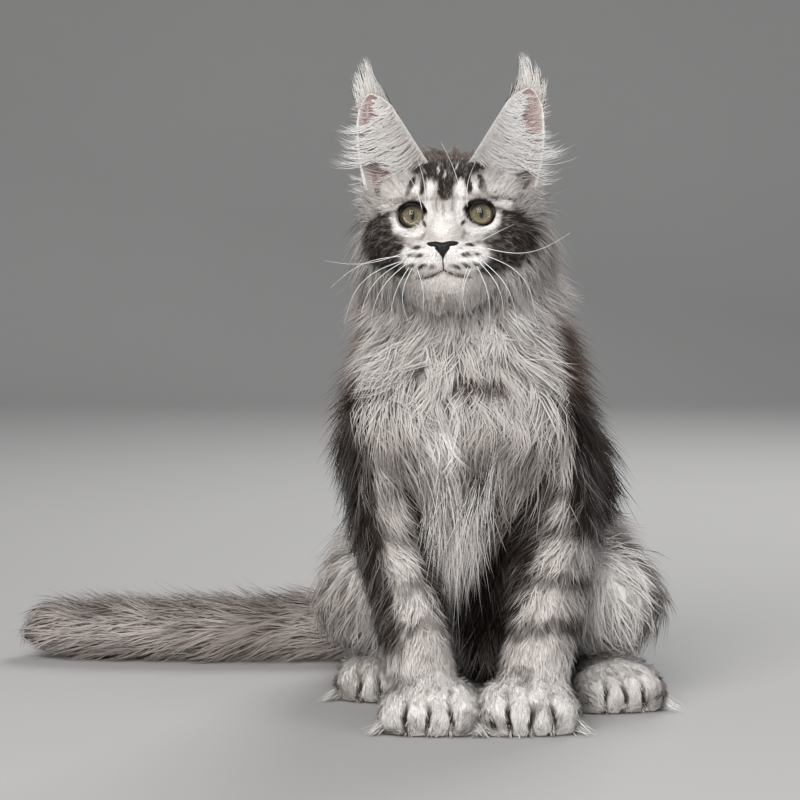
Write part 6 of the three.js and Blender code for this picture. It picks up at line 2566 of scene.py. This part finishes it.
    def rim(self) -> Tufts:
        """Fine white hair along both edges, longer on the inner one, where it lies over into the cup.

        Returns:
            The tufts.
        """
        n = 2000
        inner = self.random.random(n) < 0.66
        u = np.where(inner, -1.0 + 0.3 * self.random.random(n) ** 1.4, 1.0 - 0.05 * self.random.random(n))
        v = self.random.random(n) ** 0.9
        p, across, along, hollow = self.frame(u, v)
        ways = unit(0.9 * along + across * np.where(inner, 0.7, 0.25)[:, None] + 0.3 * hollow
                    + 0.16 * self.random.normal(size=(n, 3)))
        length = np.where(inner, self.random.uniform(5, 10, n), self.random.uniform(2.0, 4.0, n))
        length = length * (1 - 0.72 * ramp(v, 0.7, 0.88))
        lines = self._lines(p, ways, length, -0.2 * hollow, 2)
        return self._tufts(lines, hollow, (0.3, 0.5), (236, 232, 229), (254, 253, 251), (u, v), 0.12)

    def lining(self) -> Tufts:
        """Short pale down over the cup, leaning to the outer edge.

        Returns:
            The tufts.
        """
        n = 800
        u, v = self.random.uniform(-0.95, 0.75, n), self.random.random(n) ** 1.3 * 0.93
        p, across, along, hollow = self.frame(u, v)
        ways = unit(across * 0.9 + along * 0.45 + hollow * 0.16 + 0.14 * self.random.normal(size=(n, 3)))
        lines = self._lines(p, ways, self.random.uniform(6, 12, n), -0.1 * hollow, 3)
        return self._tufts(lines, hollow, (0.22, 0.4), (190, 170, 166), (228, 218, 214), (u, v), 0.12)

    def furnishings(self) -> Tufts:
        """Long white hair in locks from the inner edge, across the cup and past the outer edge, where it
        sags first and then curls up.

        Returns:
            The tufts.
        """
        locks = 30
        lock_v = 0.03 + 0.92 * (np.arange(locks) + self.random.random(locks)) / locks
        low, high = self.PASSING[self.side]
        far_out = (lock_v > low) & (lock_v < high)
        near = self.random.uniform(0.6, 1.0, locks) * (1 - 0.45 * ramp(lock_v, high, high + 0.08))
        far = self.random.uniform(1.35, 1.9, locks)
        lift = self.random.normal(size=locks) * 0.06
        each = 25
        mine = np.repeat(np.arange(locks), each)
        n = locks * each
        reach = np.where(far_out[mine] & (self.random.random(n) < 0.42), far[mine], near[mine])
        u = -1 + 0.45 * self.random.random(n) ** 1.3
        v = np.clip(lock_v[mine] + 0.05 * self.random.normal(size=n), 0.01, 0.95)
        p, across, along, hollow = self.frame(u, v)
        aim_v = np.clip(lock_v[mine] - 0.05 + lift[mine] + 0.012 * self.random.normal(size=n), 0.01, 0.93)
        aim = self.surface(np.full(n, 0.98), aim_v)
        across, span = unit(aim - p), np.linalg.norm(aim - p, axis=1)
        length = span * reach * self.random.uniform(0.75, 1.05, n)
        ways = unit(across + hollow * 0.34 + 0.025 * self.random.normal(size=(n, 3)))
        up = HEAD.way(vec(0, 0, 1))
        t = np.linspace(0, 1, 8)[None, :, None]
        size = length[:, None, None]
        curl = (0.06 + 0.16 * self.random.random(locks))[mine][:, None, None]
        lines = p[:, None] + ways[:, None] * size * t - 0.12 * hollow[:, None] * size * t**2
        lines = lines + up * size * (-0.10 * np.sin(math.pi * t) + curl * t**4)
        return self._tufts(lines, hollow, (0.26, 0.46), (222, 216, 213), (253, 252, 250), (u, v), 0.05)

    def foot(self) -> Tufts:
        """Hair that rises from the foot of the cup and fans outwards.

        Returns:
            The tufts.
        """
        n, loose = 560, 80
        stray = np.arange(n) < loose  # the hairs that pass the outer edge in locks
        lock = self.random.integers(0, 14, n)
        u = np.where(stray, 0.75 + 0.2 * self.random.random(n), self.random.uniform(-1.0, 0.9, n))
        v = np.where(stray, 0.02 + 0.021 * lock, 0.01 + 0.16 * self.random.random(n))
        p, across, along, hollow = self.frame(u, v)
        ways = unit(along * (0.35 - 0.45 * u)[:, None] + across * 0.75 + hollow * 0.5
                    + 0.12 * self.random.normal(size=(n, 3)))
        aside = across + along * (0.35 * np.sin(lock * 2.4))[:, None] + 0.05 * self.random.normal(size=(n, 3))
        ways = np.where(stray[:, None], unit(aside), ways)
        length = self.random.uniform(9, 20, n) * np.where(stray, 0.8, 1.0)
        bend = np.where(stray[:, None], 0.25 * along - 0.1 * hollow, -0.3 * hollow)
        lines = self._lines(p, ways, length, bend, 4)
        return self._tufts(lines, hollow, (0.26, 0.5), (182, 175, 170), (226, 221, 217), (u, v), 0.08)

    def tip(self, front: bool) -> Tufts:
        """One layer of the tip's tuft, a flame of fine hair in several points, in front or behind.

        Args:
            front: whether it is the layer in front.

        Returns:
            The tufts.
        """
        n = 330 if front else 210
        u, v = self.random.uniform(-1, 1, n), 0.80 + 0.20 * self.random.random(n)
        p, _, _, hollow = self.frame(u, v)
        if not front:
            p = p - hollow * (self.thickness(u, v) + 0.8)[:, None]
        points = np.array([(x, 28, z) for x, z in self.TUFT[self.side]], float)
        last = len(points) - 1
        mine = np.clip(np.rint((u + 1) / 2 * last + 0.5 * self.random.normal(size=n)), 0, last).astype(int)
        to = HEAD.out(points)[mine] - p
        length = np.linalg.norm(to, axis=1) * (0.35 + (0.72 if front else 0.6) * self.random.random(n) ** 0.6)
        ways = unit(unit(to) + 0.045 * self.random.normal(size=(n, 3)) - 0.06 * hollow)
        bulge = 0.26 * HEAD.way(vec(1, 0, 0)) * np.where(self.side is Side.LEFT, 1.0, 0.35)
        lines = self._lines(p, ways + bulge, length, -np.broadcast_to(bulge, ways.shape), 5)
        out = hollow if front else -hollow
        return self._tufts(lines, out, (0.28, 0.48), (196, 190, 186), (238, 235, 232), (u, v), 0.1)

    def build(self, finishes: Finishes) -> None:
        """Makes the leaf and its hair.

        Args:
            finishes: the kitten's materials.
        """
        self.leaf(finishes)
        kinds = {"ear_back": self.back(), "ear_rim": self.rim(), "ear_lining": self.lining(),
                 "ear_furnishing": self.furnishings(), "ear_foot": self.foot(), "ear_tuft": self.tip(True),
                 "ear_tuft_back": self.tip(False)}
        for name, tufts in kinds.items():
            coat_pieces(f"{name}_{self.side.word}", tufts, finishes.hair, Slot.EAR)


# Whiskers and claws


class Whiskers:
    """Long white whiskers on the pads and over the eyes, each a fine tapered tube that droops."""

    # Where each starts on the pad, (x, z), how far it goes out and up, and how far it bows out on the way.
    RIGHT = (((-27.5, -24.5), (-46, -3), -4), ((-27, -26.0), (-43, -18), 5), ((-25.5, -28.5), (-36, -37), 9),
             ((-24.5, -28.5), (-27, -34), 6), ((-23, -30), (-22, -36), 5), ((-20.5, -31), (-12, -35), 3),
             ((-18.5, -31.5), (-2, -34), 5), ((-16, -31), (4, -26), 2))
    LEFT = (((27, -22.5), (50, 7), -7), ((26.5, -27), (29, -38), 9), ((22.5, -28.5), (21, -41), 6),
            ((20.5, -29), (14, -40), 6), ((19, -30.5), (7, -40), 4), ((17, -31.5), (-3, -32), 4),
            ((14.5, -31), (-4, -20), 1), ((25, -18), (20, 9), 0))
    BROWS = ((17, 11.5, -12, 38), (21, 11.5, 6, 26), (-18, 11, -4, 30), (-22, 10.5, -10, 24))
    RADIUS = 0.21
    FORWARD = 14
    COLOUR = (250, 249, 247)

    def __init__(self, face: Face) -> None:
        """Keeps the face that they grow from."""
        self.face = face

    def _whisker(self, x: float, z: float, reach: tuple[float, float], bow: float) -> tuple[Array, Array]:
        """A tapered tube that bows out by bow sin(pi t) square to its chord, and forward first.

        Args:
            x: where it starts, across.
            z: where it starts, up.
            reach: how far it goes out and up.
            bow: how far it bows out.

        Returns:
            Vertices and triangles.
        """
        root = self.face.on_face(np.array([[x, -30.0, z]]), -0.6)[0]
        t = np.linspace(0, 1, 22)[:, None]
        dx, dz = reach
        size = math.hypot(dx, dz)
        square = vec(-dz, 0, dx) / size
        square = square if square[2] > 0 else -square
        forward = vec(0, -1, 0) * self.FORWARD * t * (1 - 0.7 * t)
        line = root + HEAD.way(vec(dx, 0, dz) * t + square * bow * np.sin(math.pi * t) + forward)
        return tube(line, self.RADIUS * (1 - 0.8 * t[:, 0]), 5)

    def build(self, finishes: Finishes) -> None:
        """Makes all whiskers as one piece.

        Args:
            finishes: the kitten's materials.
        """
        parts = [self._whisker(*start, reach, bow) for start, reach, bow in self.RIGHT + self.LEFT]
        parts += [self._whisker(x, z, (dx, dz), 2.0) for x, z, dx, dz in self.BROWS]
        make_piece("whiskers", joined(parts), Slot.PALE, finishes.horn, linear(self.COLOUR))


class Claws:
    """Small hooked claws, drawn back between the toes' fur."""

    LENGTH = 6.0
    RADIUS = 1.0
    HOOK = 4.6  # how far the tip bends down
    COLOUR = (206, 192, 176)

    def build(self, finishes: Finishes) -> None:
        """Makes each paw's four claws as one piece.

        Args:
            finishes: the kitten's materials.
        """
        t = np.linspace(0, 1, 10)[:, None]
        radii = self.RADIUS * (1 - t[:, 0]) ** 0.7 + 0.05
        for leg in LEGS:
            for name, paw, ahead, spread, reach in leg.feet:
                parts = []
                for place in TOE_PLACES:
                    tip = toe_tip(paw, ahead, place, spread, reach)
                    start = tip + ahead * (TOE_RADIUS - 2.2) + vec(0, 0, 0.5)
                    line = start + ahead * self.LENGTH * t * (1 - 0.3 * t) - vec(0, 0, 1) * self.HOOK * t**2
                    line[:, 2] = np.maximum(line[:, 2], 1.2)
                    parts.append(tube(line, radii, 8))
                make_piece(f"claws_{name}_{leg.side.word}", joined(parts), Slot.PALE, finishes.horn,
                           linear(self.COLOUR))


# The studio


class Studio:
    """The camera, a pale floor and soft lights."""

    CAMERA = vec(-54, -1640, 315)
    TILT = math.radians(4.574)
    LENS = 112.5
    AIM = vec(-10, -60, 200)

    def _area(self, name: str, at: Array, size: float, watts: float,
              tint: tuple[float, float, float]) -> None:
        """A square light that faces the kitten.

        Args:
            name: its name.
            at: its place.
            size: its side in metres.
            watts: its power.
            tint: its colour.
        """
        data = bpy.data.lights.new(name, "AREA")
        data.shape, data.size, data.energy, data.color = "SQUARE", size, watts, tint
        lamp = bpy.data.objects.new(name, data)
        bpy.context.scene.collection.objects.link(lamp)
        lamp.location = Vector(at * MM)
        lamp.rotation_mode = "QUATERNION"
        lamp.rotation_quaternion = Vector((self.AIM - at) * MM).to_track_quat("-Z", "Y")

    def camera(self) -> None:
        """Places the camera where the photograph was taken from."""
        data = bpy.data.cameras.new("camera")
        data.lens, data.sensor_width = self.LENS, 36.0
        data.clip_start, data.clip_end = 0.05, 50.0
        made = bpy.data.objects.new("camera", data)
        bpy.context.scene.collection.objects.link(made)
        made.location = Vector(self.CAMERA * MM)
        made.rotation_euler = (math.pi / 2 - self.TILT, 0.0, 0.0)
        bpy.context.scene.camera = made

    def floor(self) -> None:
        """A floor that curves up behind into a wall: a profile carried along x."""
        a = np.linspace(0, math.pi / 2, 13)
        y = np.concatenate([[-6000.0], 2200 + 700 * np.sin(a), [2900.0]])
        z = np.concatenate([[0.0], 700 - 700 * np.cos(a), [5200.0]])
        x = vec(-6000, 6000)
        points = np.stack(np.broadcast_arrays(x[None, :], y[:, None], z[:, None]), -1).reshape(-1, 3)
        piece = mesh_object("studio_floor", points, grid_quads(len(y), 2, ring=False))
        shader = Shader("studio_paper")
        paper = shader.blend(shader.noise(shader.place(), 3.0), (0.384, 0.379, 0.374), (0.40, 0.395, 0.39))
        shader.set(Base_Color=paper, Roughness=0.9)
        piece.data.materials.append(shader.material)

    def build(self) -> None:
        """Sets up the camera, floor, lights and background."""
        scene = bpy.context.scene
        self.camera()
        self.floor()
        self._area("key", vec(-650, -1750, 1300), 1.5, 47.0, (1.0, 0.985, 0.96))
        self._area("fill", vec(1500, -1300, 700), 1.3, 13.0, (0.96, 0.98, 1.0))
        self._area("back", vec(500, 1300, 1500), 0.9, 24.0, (1.0, 1.0, 1.0))
        world = bpy.data.worlds.new("studio")
        world.use_nodes = True
        world.node_tree.nodes["Background"].inputs[0].default_value = (0.9, 0.92, 0.95, 1.0)
        world.node_tree.nodes["Background"].inputs[1].default_value = 0.36
        scene.world = world
        scene.view_settings.view_transform = "Standard"
        log.info("studio: camera, floor and lights")


def main() -> None:
    """Builds the kitten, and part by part."""
    logging.basicConfig(level=logging.INFO, format="%(message)s", stream=sys.stdout)
    Studio().build()
    finishes = Finishes()
    face = Face()
    skin = Skin(face)
    skin.build(finishes)
    coat = Coat(skin)
    for region in REGIONS:
        finish = finishes.down if region.short else finishes.hair
        coat_pieces(region.name, coat.grow(region), finish, region.slot)
    coat_pieces("toe_tufts", ToeTufts().grow(), finishes.hair, Slot.PALE)
    for side in Side:
        Eye(side).build(finishes)
        Ear(side).build(finishes)
    Muzzle(face).build(finishes)
    Whiskers(face).build(finishes)
    Claws().build(finishes)


if __name__ == "__main__":
    main()
